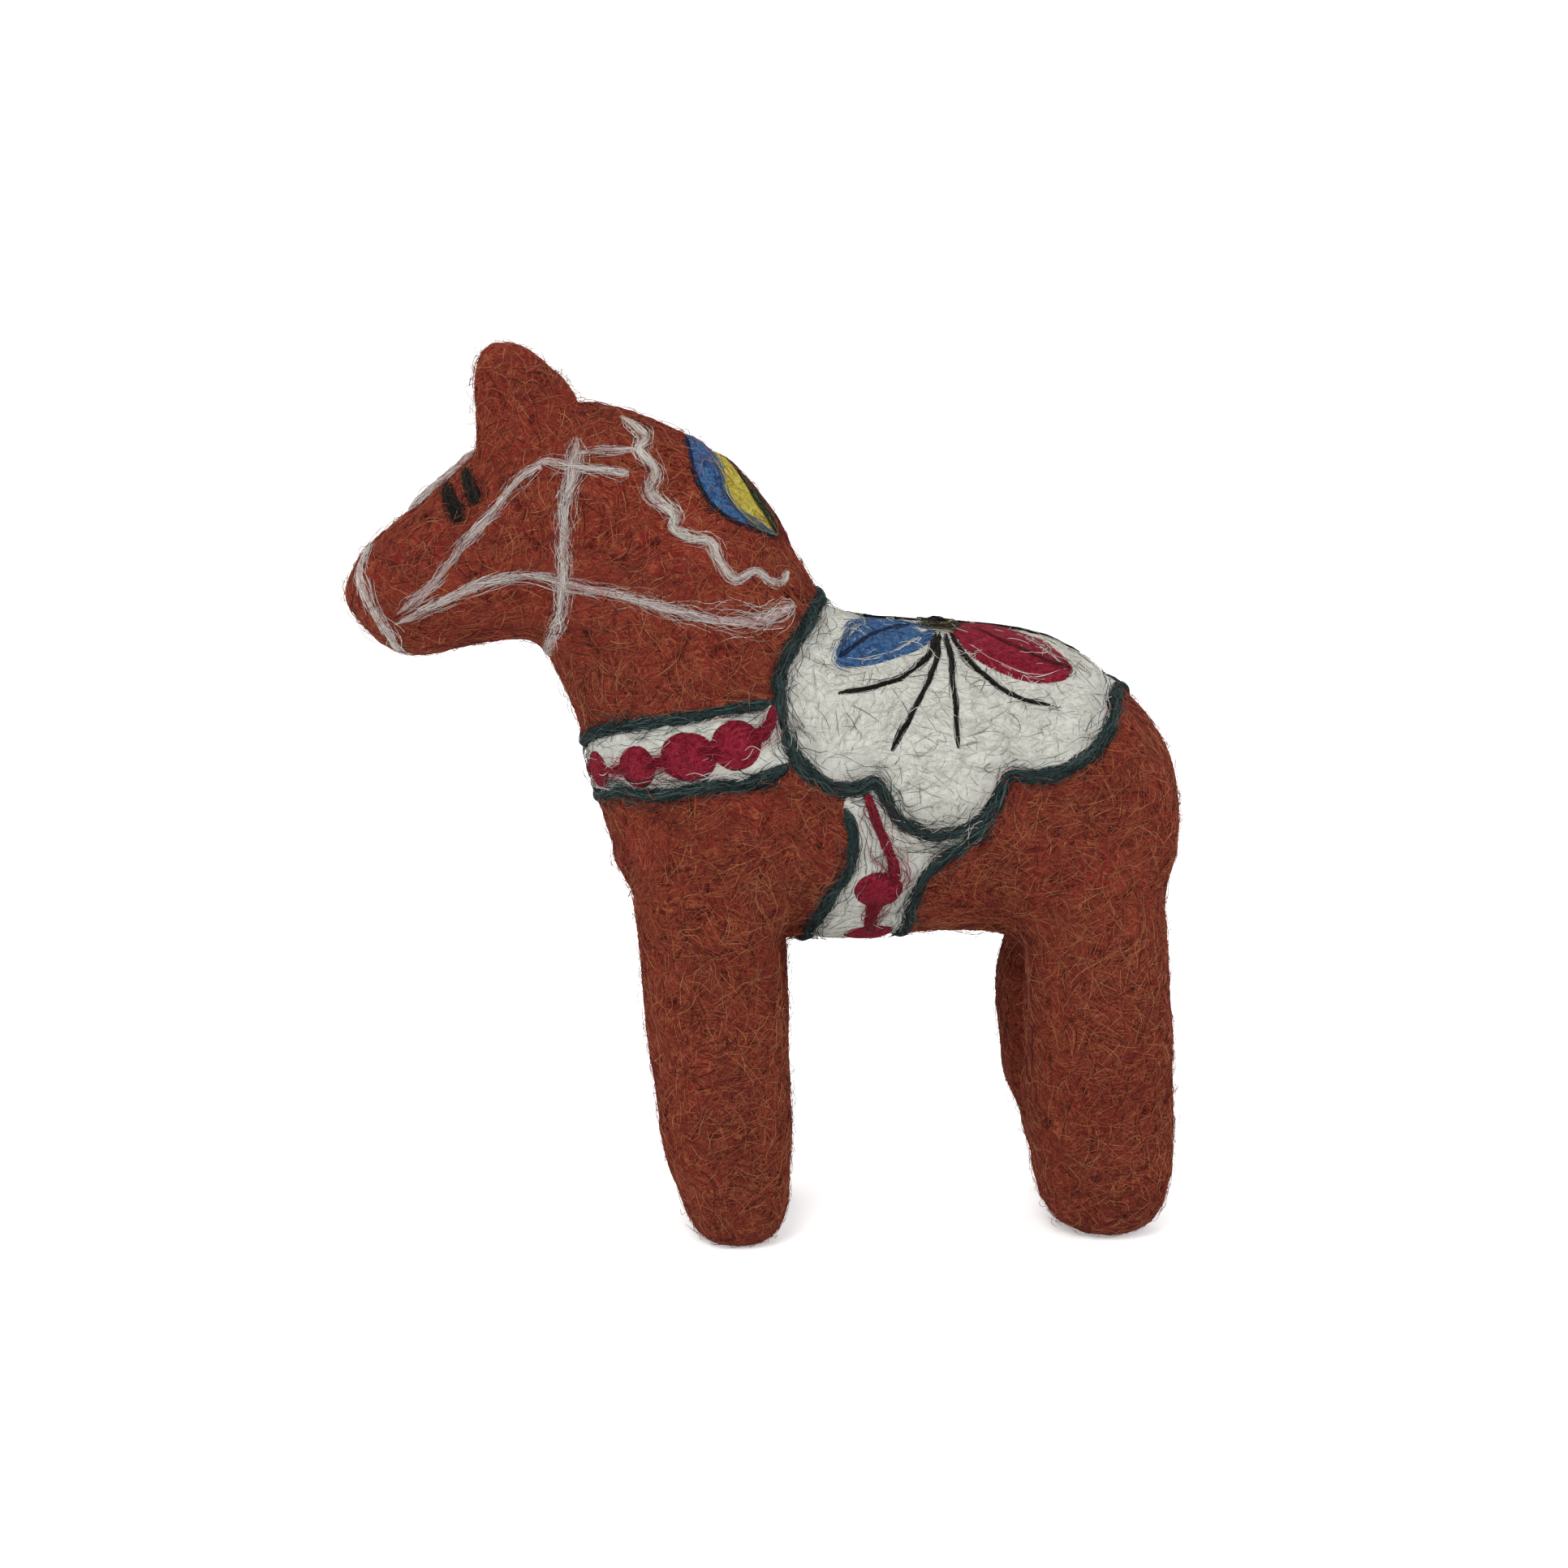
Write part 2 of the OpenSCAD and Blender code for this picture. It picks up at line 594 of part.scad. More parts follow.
// ---- Bridle ----
module bridle_strand(places) {
    color(pink_white) strand(places, bridle_w, bridle_h);
}

module noseband() {
    color(pink_white) strand(under(noseband_route), bridle_w, bridle_h, closed = true);
}

module left_cheek_strap() { bridle_strand(on_left(cheek_route)); }
module right_cheek_strap() { bridle_strand(on_right(cheek_route)); }
module left_headstall() { bridle_strand(on_left(headstall_route)); }
module right_headstall() { bridle_strand(on_right(headstall_route)); }
module left_crown_line() { bridle_strand(on_left(crown_route)); }
module right_crown_line() { bridle_strand(on_right(crown_route)); }
module throat_latch() { bridle_strand(under(throat_route)); }

function rein(right) = [
    for (i = [0:len(rein_route) - 1])
        let(p = concat(rein_route[i], is_undef(rein_route[i][2]) ? [0] : []))
        (right ? on_right([concat(p, rein_widths[i])]) : on_left([concat(p, rein_widths[i])]))[0]
];
module left_rein() { bridle_strand(rein(false)); }
module right_rein() { bridle_strand(rein(true)); }

// ---- Face and mane ----
module forehead_blaze() {
    color(pink_white) strand([for (station = blaze_stations) on_spine(station)], blaze_w, bridle_h);
}

module eye(right) {
    for (bar = [eye_front_bar, eye_rear_bar])
        color(black) strand(right ? on_right(bar) : on_left(bar), eye_w, bridle_h);
}

module left_eye() { eye(false); }
module right_eye() { eye(true); }
module left_mane_zigzag() { bridle_strand(on_left(zigzag_route)); }
module right_mane_zigzag() { bridle_strand(on_right(zigzag_route)); }

module leaf_stripe(i, tint, right) {
    low = [for (p = leaf_borders[i]) p + [leaf_gap, 0]];
    high = leaf_borders[i + 1];
    color(tint)
        sheet(right ? on_right(high) : on_left(high), right ? on_right(low) : on_left(low),
            leaf_steps, petal_t);
}

module left_blue_crest_leaf() { leaf_stripe(0, blue, false); }
module right_blue_crest_leaf() { leaf_stripe(0, blue, true); }
module left_yellow_crest_leaf() { leaf_stripe(1, yellow, false); }
module right_yellow_crest_leaf() { leaf_stripe(1, yellow, true); }
module left_green_crest_leaf() { leaf_stripe(2, green, false); }
module right_green_crest_leaf() { leaf_stripe(2, green, true); }
module crimson_crest_stripe() {
    color(crimson)
        strand([for (station = crimson_stripe_stations) on_spine(station)], crest_stripe_w, petal_t);
}

body_core();
torso_coat();
neck_and_head_coat();
front_left_leg_core();
front_right_leg_core();
hind_left_leg_core();
hind_right_leg_core();
front_left_leg_coat();
front_right_leg_coat();
hind_left_leg_coat();
hind_right_leg_coat();
left_ear();
right_ear();
saddle_blanket();
saddle_edging();
flower_centre();
flower_stems_left();
flower_stems_right();
flower_spine_stems();
left_blue_petal();
left_crimson_petal();
right_blue_petal();
right_crimson_petal();
breast_strap();
breast_strap_upper_edging();
breast_strap_lower_edging();
breast_strap_chain();
girth();
girth_front_edging();
girth_rear_edging();
left_girth_drop();
right_girth_drop();
noseband();
left_cheek_strap();
right_cheek_strap();
left_headstall();
right_headstall();
left_crown_line();
right_crown_line();
throat_latch();
left_rein();
right_rein();
forehead_blaze();
left_eye();
right_eye();
left_mane_zigzag();
right_mane_zigzag();
left_blue_crest_leaf();
right_blue_crest_leaf();
left_yellow_crest_leaf();
right_yellow_crest_leaf();
left_green_crest_leaf();
right_green_crest_leaf();
crimson_crest_stripe();
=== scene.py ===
import math

import bmesh
import bpy
import numpy as np
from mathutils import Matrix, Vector
from mathutils.bvhtree import BVHTree


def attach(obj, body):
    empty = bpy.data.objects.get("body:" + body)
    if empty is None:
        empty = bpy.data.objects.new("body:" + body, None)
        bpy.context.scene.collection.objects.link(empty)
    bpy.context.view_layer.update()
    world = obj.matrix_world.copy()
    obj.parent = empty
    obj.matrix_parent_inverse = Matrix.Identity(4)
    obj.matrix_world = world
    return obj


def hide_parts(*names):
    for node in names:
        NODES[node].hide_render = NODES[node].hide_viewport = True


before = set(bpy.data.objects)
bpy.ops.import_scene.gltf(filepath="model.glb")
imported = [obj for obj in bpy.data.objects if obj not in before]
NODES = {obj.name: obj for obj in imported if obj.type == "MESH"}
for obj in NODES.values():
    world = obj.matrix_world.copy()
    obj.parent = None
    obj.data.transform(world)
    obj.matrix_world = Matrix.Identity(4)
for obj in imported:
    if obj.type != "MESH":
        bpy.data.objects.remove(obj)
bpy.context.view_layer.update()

MM = 0.001
UP = np.array([0.0, 0.0, 1.0])


# ---------------------------------------------------------------- numbers and noise
TABLE = 32
_tables = {}


def noise_at(points, size, seed):
    """Smooth noise from -1 to 1 at points in mm, with features of that size."""
    if seed not in _tables:
        _tables[seed] = np.random.default_rng(seed).uniform(-1, 1, (TABLE,) * 3)
    table = _tables[seed]
    q = points / size + 500.0
    i = np.floor(q).astype(np.int64)
    f = q - i
    f = f * f * (3 - 2 * f)
    i %= TABLE
    j = (i + 1) % TABLE
    total = np.zeros(len(points))
    for corner in range(8):
        weight = np.ones(len(points))
        index = []
        for axis in range(3):
            far = corner >> axis & 1
            index.append(j[:, axis] if far else i[:, axis])
            weight = weight * (f[:, axis] if far else 1 - f[:, axis])
        total += weight * table[tuple(index)]
    return total


def smoothstep(low, high, x):
    t = np.clip((x - low) / (high - low), 0, 1)
    return t * t * (3 - 2 * t)


def unit_rows(v):
    return v / np.maximum(np.linalg.norm(v, axis=-1, keepdims=True), 1e-9)


DENSE_STEPS = 24


def catmull(points, count, closed=False):
    """A smooth line of count points through the control points."""
    p = np.asarray(points, float)
    n = len(p)
    t = np.linspace(0, n if closed else n - 1, count, endpoint=not closed)
    i = np.minimum(np.floor(t).astype(int), n - 1 if closed else n - 2)
    f = (t - i)[:, None]
    pick = (lambda k: p[k % n]) if closed else (lambda k: p[np.clip(k, 0, n - 1)])
    a, b, c, d = pick(i - 1), pick(i), pick(i + 1), pick(i + 2)
    bend = (2 * a - 5 * b + 4 * c - d) / 2
    return b + f * ((c - a) / 2 + f * (bend + f * (3 * (b - c) + d - a) / 2))


def along(points, spacing, closed=False):
    """A smooth line through the control points with even spacing, in mm."""
    dense = catmull(points, len(points) * DENSE_STEPS, closed)
    if closed:
        dense = np.vstack([dense, dense[:1]])
    steps = np.linalg.norm(np.diff(dense, axis=0), axis=1)
    s = np.concatenate([[0], np.cumsum(steps)])
    count = max(4, int(round(s[-1] / spacing)))
    want = np.linspace(0, s[-1], count + 1)
    if closed:
        want = want[:-1]
    return np.stack([np.interp(want, s, column) for column in dense.T], 1)


# ---------------------------------------------------------------- meshes
def vectors_of(collection, name):
    values = np.zeros(len(collection) * 3, np.float32)
    collection.foreach_get(name, values)
    return values.reshape(-1, 3).astype(float)


def vertices_of(mesh):
    return vectors_of(mesh.vertices, "co") / MM


def normals_of(mesh):
    return vectors_of(mesh.vertex_normals, "vector")


def put_vertices(mesh, points):
    mesh.vertices.foreach_set("co", (np.asarray(points) * MM).astype(np.float32).ravel())


def linked(name, data):
    o = bpy.data.objects.new(name, data)
    bpy.context.scene.collection.objects.link(o)
    return o


def with_modifiers(o):
    """The object's mesh with its modifiers applied. The object itself is removed."""
    mesh = bpy.data.meshes.new_from_object(o.evaluated_get(bpy.context.evaluated_depsgraph_get()))
    bpy.data.objects.remove(o)
    return mesh


def build_mesh(name, points, quads=None, tris=None):
    quads = np.zeros((0, 4), int) if quads is None else np.asarray(quads, int).reshape(-1, 4)
    tris = np.zeros((0, 3), int) if tris is None else np.asarray(tris, int).reshape(-1, 3)
    mesh = bpy.data.meshes.new(name)
    mesh.vertices.add(len(points))
    put_vertices(mesh, points)
    loops = np.concatenate([quads.ravel(), tris.ravel()]).astype(np.int32)
    mesh.loops.add(len(loops))
    mesh.loops.foreach_set("vertex_index", loops)
    mesh.polygons.add(len(quads) + len(tris))
    starts = np.concatenate([np.arange(len(quads)) * 4, len(quads) * 4 + np.arange(len(tris)) * 3])
    mesh.polygons.foreach_set("loop_start", starts.astype(np.int32))
    mesh.update(calc_edges=True)
    mesh.validate()
    return mesh


def add_object(name, mesh, material=None, nodes=()):
    o = linked(name, mesh)
    mesh.shade_smooth()
    if material is not None:
        mesh.materials.append(material)
    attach(o, "root")
    if nodes:
        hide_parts(*nodes)
    return o


def bvh_of(points, faces):
    return BVHTree.FromPolygons([tuple(p) for p in points], [tuple(f) for f in faces])


def project(bvh, points):
    """The nearest surface points and their normals."""
    found, normals = np.empty_like(points), np.empty_like(points)
    for k, p in enumerate(points):
        co, normal, _, _ = bvh.find_nearest(p)
        found[k] = co
        normals[k] = normal
    return found, normals


# ---------------------------------------------------------------- camera, light and floor
AZIMUTH, ELEVATION, DISTANCE = math.radians(-6.6), math.radians(8.5), 350
TARGET = np.array([2.35, 0.0, 55.6])
FRAME_WIDTH, SENSOR = 195.7, 36.0
back = np.array([
    math.sin(AZIMUTH) * math.cos(ELEVATION),
    -math.cos(AZIMUTH) * math.cos(ELEVATION),
    math.sin(ELEVATION),
])
camera = linked("camera", bpy.data.cameras.new("camera"))
camera.data.sensor_width = SENSOR
camera.data.lens = SENSOR * DISTANCE / FRAME_WIDTH
camera.data.clip_start = 0.01
camera.location = Vector((TARGET + back * DISTANCE) * MM)
camera.rotation_euler = Vector(-back).to_track_quat("-Z", "Y").to_euler()
bpy.context.scene.camera = camera

LIGHT_AIM = Vector((0, 0, 0.06))
for name, place, size, power, colour in (
    ("key", (-0.25, -0.50, 0.70), 0.40, 4.2, (1.0, 0.99, 0.97)),
    ("fill", (0.60, -0.30, 0.35), 0.50, 1.0, (0.96, 0.98, 1.0)),
    ("rim", (0.10, 0.55, 0.65), 0.50, 2.2, (1.0, 1.0, 1.0)),
):
    lamp = bpy.data.lights.new(name, "AREA")
    lamp.shape = "DISK"
    lamp.size, lamp.energy, lamp.color = size, power, colour
    lamp_object = linked(name, lamp)
    lamp_object.location = place
    lamp_object.rotation_euler = (LIGHT_AIM - Vector(place)).to_track_quat("-Z", "Y").to_euler()

world = bpy.data.worlds.new("soft_room")
bpy.context.scene.world = world
world.use_nodes = True
world.node_tree.nodes["Background"].inputs["Color"].default_value = (1.0, 1.0, 1.0, 1)
world.node_tree.nodes["Background"].inputs["Strength"].default_value = 0.8
bpy.context.scene.view_settings.view_transform = "Standard"

# A round sweep: flat where the horse stands, and curving up into a wall on every side
SWEEP = [(0.02, 0.0), (0.9, 0.0), (1.3, 0.05), (1.6, 0.2), (1.8, 0.5), (1.9, 0.9), (1.95, 1.5)]
SWEEP_SIDES = 64
floor_mesh = bpy.data.meshes.new("floor")
turns = [2 * math.pi * k / SWEEP_SIDES for k in range(SWEEP_SIDES)]
floor_mesh.from_pydata(
    [(r * math.cos(t), r * math.sin(t), z) for r, z in SWEEP for t in turns], [],
    [tuple(range(SWEEP_SIDES))] + [
        (row * SWEEP_SIDES + k, (row + 1) * SWEEP_SIDES + k,
         (row + 1) * SWEEP_SIDES + (k + 1) % SWEEP_SIDES, row * SWEEP_SIDES + (k + 1) % SWEEP_SIDES)
        for row in range(len(SWEEP) - 1) for k in range(SWEEP_SIDES)
    ],
)
floor_mesh.shade_smooth()
floor = linked("floor", floor_mesh)


# ---------------------------------------------------------------- fused body
VOXEL = 0.6
CORE_REACH = 1.9  # faces of a coat nearer the core than this are its inside
FILL_STEP, SLIDE_STEP, SHRINK_STEP, GROW_STEP = 0.9, 0.1, 0.5, 0.52
SEAM_A, SEAM_B = np.array([7.2, 78.9]), np.array([-9.0, 38.4])
LEG_CUT = 30.0
EAR_FRONT, EAR_REAR = np.array([-36.5, 98.6]), np.array([-20.5, 105.2])


def cad_bmesh(name):
    bm = bmesh.new()
    bm.from_mesh(NODES[name].data)
    bmesh.ops.remove_doubles(bm, verts=bm.verts, dist=2e-6)
    return bm


def hull(bm):
    result = bmesh.ops.convex_hull(bm, input=bm.verts)
    spare = [e for e in result["geom_interior"] if isinstance(e, bmesh.types.BMVert)]
    bmesh.ops.delete(bm, geom=spare, context="VERTS")
    keep = {f for f in result["geom"] if isinstance(f, bmesh.types.BMFace)}
    bmesh.ops.delete(bm, geom=[f for f in bm.faces if f not in keep], context="FACES")


core_bm = cad_bmesh("body_core")
core_tree = BVHTree.FromBMesh(core_bm)
joined = bmesh.new()
scratch = bpy.data.meshes.new("scratch")
for part in ("torso_coat", "neck_and_head_coat"):
    bm = cad_bmesh(part)
    inner = [f for f in bm.faces if core_tree.find_nearest(f.calc_center_median())[3] < CORE_REACH * MM]
    bmesh.ops.delete(bm, geom=inner, context="FACES")
    bm.to_mesh(scratch)
    joined.from_mesh(scratch)
    bm.free()
bmesh.ops.remove_doubles(joined, verts=joined.verts, dist=2e-5)
bmesh.ops.holes_fill(joined, edges=joined.edges, sides=0)
bmesh.ops.recalc_face_normals(joined, faces=joined.faces)
LEGS = ("front_left_leg", "front_right_leg", "hind_left_leg", "hind_right_leg")
# The hind legs all but touch, so they are spread a little to keep a slit between their coats
SPREAD = {"hind_left_leg_coat": -0.6, "hind_right_leg_coat": 0.1}
HIND_MIDDLE = 0.15
for part in [leg + "_coat" for leg in LEGS] + ["left_ear", "right_ear"]:
    bm = cad_bmesh(part)
    hull(bm)
    bmesh.ops.translate(bm, verts=bm.verts, vec=(0, SPREAD.get(part, 0) * MM, 0))
    bmesh.ops.recalc_face_normals(bm, faces=bm.faces)
    bm.to_mesh(scratch)
    joined.from_mesh(scratch)
    bm.free()
core_bm.free()
joined.to_mesh(scratch)
joined.free()
shell = linked("shell", scratch)
remesh = shell.modifiers.new("remesh", "REMESH")
remesh.mode = "VOXEL"
remesh.voxel_size = VOXEL * MM
fused = with_modifiers(shell)


def relax(mesh, fillet_rounds, smooth_rounds):
    """Fills hollow creases with a soft fillet, then smooths the facets away."""
    points = vertices_of(mesh)
    edges = np.zeros(len(mesh.edges) * 2, np.int32)
    mesh.edges.foreach_get("vertices", edges)
    a, b = edges.reshape(-1, 2).T
    count = np.bincount(np.concatenate([a, b]), minlength=len(points)).astype(float)

    def pull(p):
        ends = np.concatenate([a, b])
        total = np.stack([
            np.bincount(ends, np.concatenate([p[b, k], p[a, k]]), len(p)) for k in range(3)
        ], 1)
        return total / count[:, None] - p

    def refresh():
        put_vertices(mesh, points)
        mesh.update()
        return normals_of(mesh)

    normals = refresh()
    for r in range(fillet_rounds):
        if r % 10 == 0:
            normals = refresh()
        out = np.maximum((pull(points) * normals).sum(1), 0)
        points = points + FILL_STEP * out[:, None] * normals + SLIDE_STEP * pull(points) * (out[:, None] > 0)
    for _ in range(smooth_rounds):
        points = points + SHRINK_STEP * pull(points)
        points = points - GROW_STEP * pull(points)
    refresh()


relax(fused, 70, 24)
dense = linked("dense", fused)
sub = dense.modifiers.new("sub", "SUBSURF")
sub.levels = sub.render_levels = 1
body = with_modifiers(dense)


def hump(low, rise, fall, high, x):
    return smoothstep(low, rise, x) * (1 - smoothstep(fall, high, x))


# The shoulder runs down into each foreleg, and the far hind leg stands a little forward at the hock
smooth_points = vertices_of(body)
px, py, pz = smooth_points.T
shoulder = hump(4.0, 14.0, 42.0, 50.0, pz) * smoothstep(-3.0, -11.0, px)
hock = hump(9.0, 16.0, 28.0, 36.0, pz) * hump(27.0, 30.0, 34.0, 41.0, px) * (py > 0)
ear_back = smoothstep(101.0, 106.0, pz) * smoothstep(-34.0, -29.0, px)
jaw = smoothstep(-23.0, -30.0, px) * smoothstep(82.0, 74.0, pz)
smooth_points[:, 0] += 1.5 * ear_back - 1.5 * shoulder - 1.7 * hock
smooth_points[:, 2] += 0.9 * jaw
put_vertices(body, smooth_points)
body.update()
smooth_normals = normals_of(body)
quads = np.zeros(len(body.loops), np.int32)
body.loops.foreach_get("vertex_index", quads)
quads = quads.reshape(-1, 4)

# ---------------------------------------------------------------- places on the skin
CLEAR_OF_FLANK, NEAR_MIDDLE = -60, -1.5


def side_point(x, z):
    """The point of the left flank seen at x, z from the side, or the nearest one past the outline."""
    hit = skin_tree.ray_cast(Vector((x, CLEAR_OF_FLANK, z)), Vector((0, 1, 0)))[0]
    if hit is None or hit[1] > 0:
        hit = skin_tree.find_nearest(Vector((x, NEAR_MIDDLE, z)))[0]
    return np.array(hit)


def middle_point(x, z):
    hit = np.array(skin_tree.find_nearest(Vector((x, 0, z)))[0])
    hit[1] = 0
    return hit


MIRROR = np.array([1.0, -1.0, 1.0])


def left_line(route):
    return np.array([side_point(x, z) for x, z in route])


def right_line(route):
    return left_line(route) * MIRROR


SIDES = (("left", left_line), ("right", right_line))


def middle_line(route):
    return np.array([middle_point(x, z) for x, z in route])


def wrapped_line(route):
    """Down the left side, across the middle plane at the last point, and up the right side."""
    left = left_line(route[:-1])
    return np.vstack([left, [middle_point(*route[-1])], left[::-1] * MIRROR])


def in_polygon(points, polygon):
    inside = np.zeros(len(points), bool)
    x, z = points[:, 0], points[:, 1]
    for (x0, z0), (x1, z1) in zip(polygon, np.roll(polygon, -1, axis=0)):
        if z0 == z1:
            continue
        crosses = (z0 > z) != (z1 > z)
        inside ^= crosses & (x < (x1 - x0) * (z - z0) / (z1 - z0) + x0)
    return inside


def polygon_depth(points, polygon):
    """How far inside a side-view polygon each point is, in mm, and below zero outside it."""
    best = np.full(len(points), 1e9)
    for p0, p1 in zip(polygon, np.roll(polygon, -1, axis=0)):
        d = p1 - p0
        t = np.clip(((points - p0) @ d) / max(d @ d, 1e-9), 0, 1)
        best = np.minimum(best, np.linalg.norm(points - p0 - t[:, None] * d, axis=1))
    return np.where(in_polygon(points, polygon), best, -best)


# ---------------------------------------------------------------- routes, as in the CAD model
BLANKET = [
    (6.8, 79.4), (5.2, 77.6), (1.0, 72.5), (0.1, 67.6), (1.0, 62.8), (3.2, 59.6), (6.2, 57.7),
    (9.2, 57.4), (11.4, 58.2), (12.6, 55.8), (14.0, 53.6), (17.2, 52.0), (21.4, 52.0),
    (24.6, 53.8), (26.2, 56.6), (27.6, 59.0), (30.4, 58.6), (34.4, 59.4), (38.2, 61.4),
    (40.8, 64.6), (41.8, 66.6), (43.4, 67.6), (46.2, 67.8),
]
FRONT_PETAL = [
    (20.2, 74.2), (16.8, 75.6), (12.8, 76.0), (9.6, 74.8),
    (7.4, 71.8), (11.2, 71.6), (15.4, 72.6), (18.2, 73.4),
]
REAR_PETAL = [
    (22.6, 74.6), (25.4, 75.6), (29.4, 75.0), (33.4, 72.6),
    (36.0, 69.8), (32.0, 69.2), (27.4, 70.6), (24.0, 72.6),
]
PETALS = {
    "left": ((FRONT_PETAL, "blue"), (REAR_PETAL, "crimson")),
    "right": ((FRONT_PETAL, "crimson"), (REAR_PETAL, "blue")),
}
STEMS = [
    [(20.4, 74.0), (19.2, 72.2), (15.8, 69.9), (11.6, 68.7), (7.2, 68.1)],
    [(20.9, 74.0), (19.8, 71.6), (18.0, 68.6), (15.9, 65.6), (13.6, 61.6)],
    [(21.6, 73.8), (21.4, 71.2), (21.2, 68.6), (21.2, 65.4), (21.4, 61.8)],
    [(22.2, 74.0), (23.2, 71.6), (25.8, 69.0), (29.4, 67.0), (32.8, 66.2)],
]
SPINE_STEMS = [
    [(20.4, 76), (14.6, 76.2), (10.6, 77.2)],
    [(22.4, 75.6), (28.0, 75.4), (34.0, 74.0), (39.6, 71.6)],
]
BREAST_UPPER = [(-0.6, 67.6), (-5.0, 67.0), (-10.4, 65.8), (-16.0, 64.8), (-20.8, 63.4), (-22.4, 61.6)]
BREAST_LOWER = [(1.2, 60.6), (-3.6, 58.2), (-7.6, 58.0), (-13.6, 56.6), (-18.4, 56.2), (-20.6, 54.8)]
GIRTH_FRONT = [(7.6, 55.2), (8.8, 51.6), (8.4, 47.6), (6.4, 43.4), (4.8, 38.4), (4.6, 36.2)]
GIRTH_REAR = [(25.6, 53.4), (23.0, 51.4), (18.6, 47.6), (16.8, 44.2), (16.6, 39.6), (16.6, 37.0)]
NOSEBAND = [
    (-48.8, 85.6), (-49.3, 83.2), (-48.8, 80.6), (-47.4, 77.6), (-45.8, 75.2), (-44.6, 72.6), (-43.8, 71.6),
]
CHEEK = [
    (-44.9, 77.9), (-42.4, 79.8), (-40.0, 82.2), (-37.0, 86.2), (-33.6, 90.0), (-30.0, 94.0), (-27.6, 95.4),
]
HEADSTALL = [(-28.6, 95.6), (-26.6, 96.0), (-24.6, 95.6), (-21.0, 95.0), (-17.2, 94.6)]
CROWN = [(-23.6, 96.8), (-20.4, 97.2), (-16.2, 97.4)]
THROAT = [
    (-23.4, 98.8), (-23.8, 94.6), (-24.8, 91.0), (-25.2, 85.8), (-25.2, 81.6), (-25.6, 78.4),
    (-26.2, 75.4), (-27.0, 72.6),
]
REIN = [
    (-45.2, 76.6), (-40.2, 79.2), (-34.8, 81.6), (-30.4, 82.4), (-27.4, 82.2), (-25.2, 81.6),
    (-21.6, 80.8), (-17.4, 79.8), (-11.0, 78.2), (-4.8, 77.0), (-0.4, 77.6), (2.4, 79.0),
]
EYE_FRONT = [(-38.9, 93.2), (-38.1, 91.0), (-37.3, 88.9)]
EYE_REAR = [(-36.6, 95.0), (-36.0, 93.0), (-35.3, 91.0)]
ZIGZAG = [
    (-17.8, 101.2), (-15.0, 98.8), (-15.8, 97.2), (-13.9, 94.8), (-14.7, 92.4), (-11.8, 89.6),
    (-12.1, 88.0), (-9.6, 86.7), (-7.6, 86.4), (-6.8, 84.6), (-5.8, 82.9), (-4.4, 82.0),
    (-2.0, 82.8), (-0.4, 81.6), (1.4, 81.5), (2.0, 82.6),
]
LEAF_BORDERS = [
    [(-9.8, 99.8), (-9.2, 94.8), (-7.4, 91.0), (-4.6, 88.8), (-1.6, 87.8), (0.6, 86.8)],
    [(-6.8, 98.8), (-6.2, 95.4), (-5.2, 91.8), (-3.0, 89.0), (-0.8, 87.6), (0.7, 86.8)],
    [(-5.0, 97.6), (-3.7, 94.6), (-2.0, 91.6), (-0.4, 89.2), (0.4, 87.8), (0.8, 86.8)],
    [(-3.6, 96.4), (-1.4, 94.0), (0.3, 91.4), (1.2, 89.6), (1.5, 88.0), (1.3, 86.8)],
]
CREST_STRIPE = [(-3.4, 95.0), (-0.9, 92.0), (1.2, 89.0), (3.0, 85.6)]
BLAZE = [(-35.4, 97.6), (-39.4, 93.6), (-43.6, 90.2)]

# ---------------------------------------------------------------- felt relief
side_view = smooth_points[:, [0, 2]]
SIDE_OVERLAP = 0.4
ON_SIDE = {"left": smooth_points[:, 1] < SIDE_OVERLAP, "right": smooth_points[:, 1] > -SIDE_OVERLAP}
BOTH_SIDES = np.ones(len(smooth_points), bool)


OUTLINE_STEP = 0.6


def outline(points, spacing=OUTLINE_STEP):
    return along(points, spacing)


def distance_to_line(points, line):
    return np.min([np.hypot(*(points - q).T) for q in line], axis=0)


blanket_edge = outline(BLANKET)
blanket_polygon = np.vstack([blanket_edge, [(46.0, 95.0), (7.2, 95.0)]])
blanket_depth = polygon_depth(side_view, blanket_polygon)
breast_polygon = np.vstack([
    outline(BREAST_UPPER), [(-30, 61.0), (-30, 54.4)], outline(BREAST_LOWER)[::-1], [(6, 62), (6, 66)],
])
breast_depth = polygon_depth(side_view, breast_polygon)
girth_polygon = np.vstack([
    outline(GIRTH_FRONT), [(4.5, 30), (16.6, 30)], outline(GIRTH_REAR)[::-1], [(23, 56), (8, 58)],
])
FAR_OUTSIDE = -9.0
girth_depth = np.where(smooth_points[:, 2] > LEG_CUT, polygon_depth(side_view, girth_polygon), FAR_OUTSIDE)

# Soft lumps left by the felting needle, and the hollows that hold the blanket and the bands
lumps = 0.22 * noise_at(smooth_points, 9, 1) + 0.12 * noise_at(smooth_points, 4.2, 2)
hollow = 0.8 * smoothstep(-0.6, 2.0, blanket_depth)
# Soft folds where the shoulder and the thigh leave the belly
SHOULDER_FOLD = [(-0.2, 56.0), (1.0, 50.0), (2.6, 43.0), (3.2, 38.0)]
THIGH_FOLD = [(24.5, 50.0), (27.0, 44.0), (28.6, 38.0)]
FOLD_REACH, FLANK_Y = 3.4, 6
for fold, deep in ((SHOULDER_FOLD, 1.1), (THIGH_FOLD, 0.6)):
    off = distance_to_line(side_view, outline(fold, 0.8))
    lumps -= deep * (1 - smoothstep(0.0, FOLD_REACH, off)) * (np.abs(smooth_points[:, 1]) > FLANK_Y)
hollow = np.maximum(hollow, 0.3 * smoothstep(-0.6, 1.2, np.maximum(breast_depth, girth_depth)))
skin = smooth_points + (lumps - hollow)[:, None] * smooth_normals
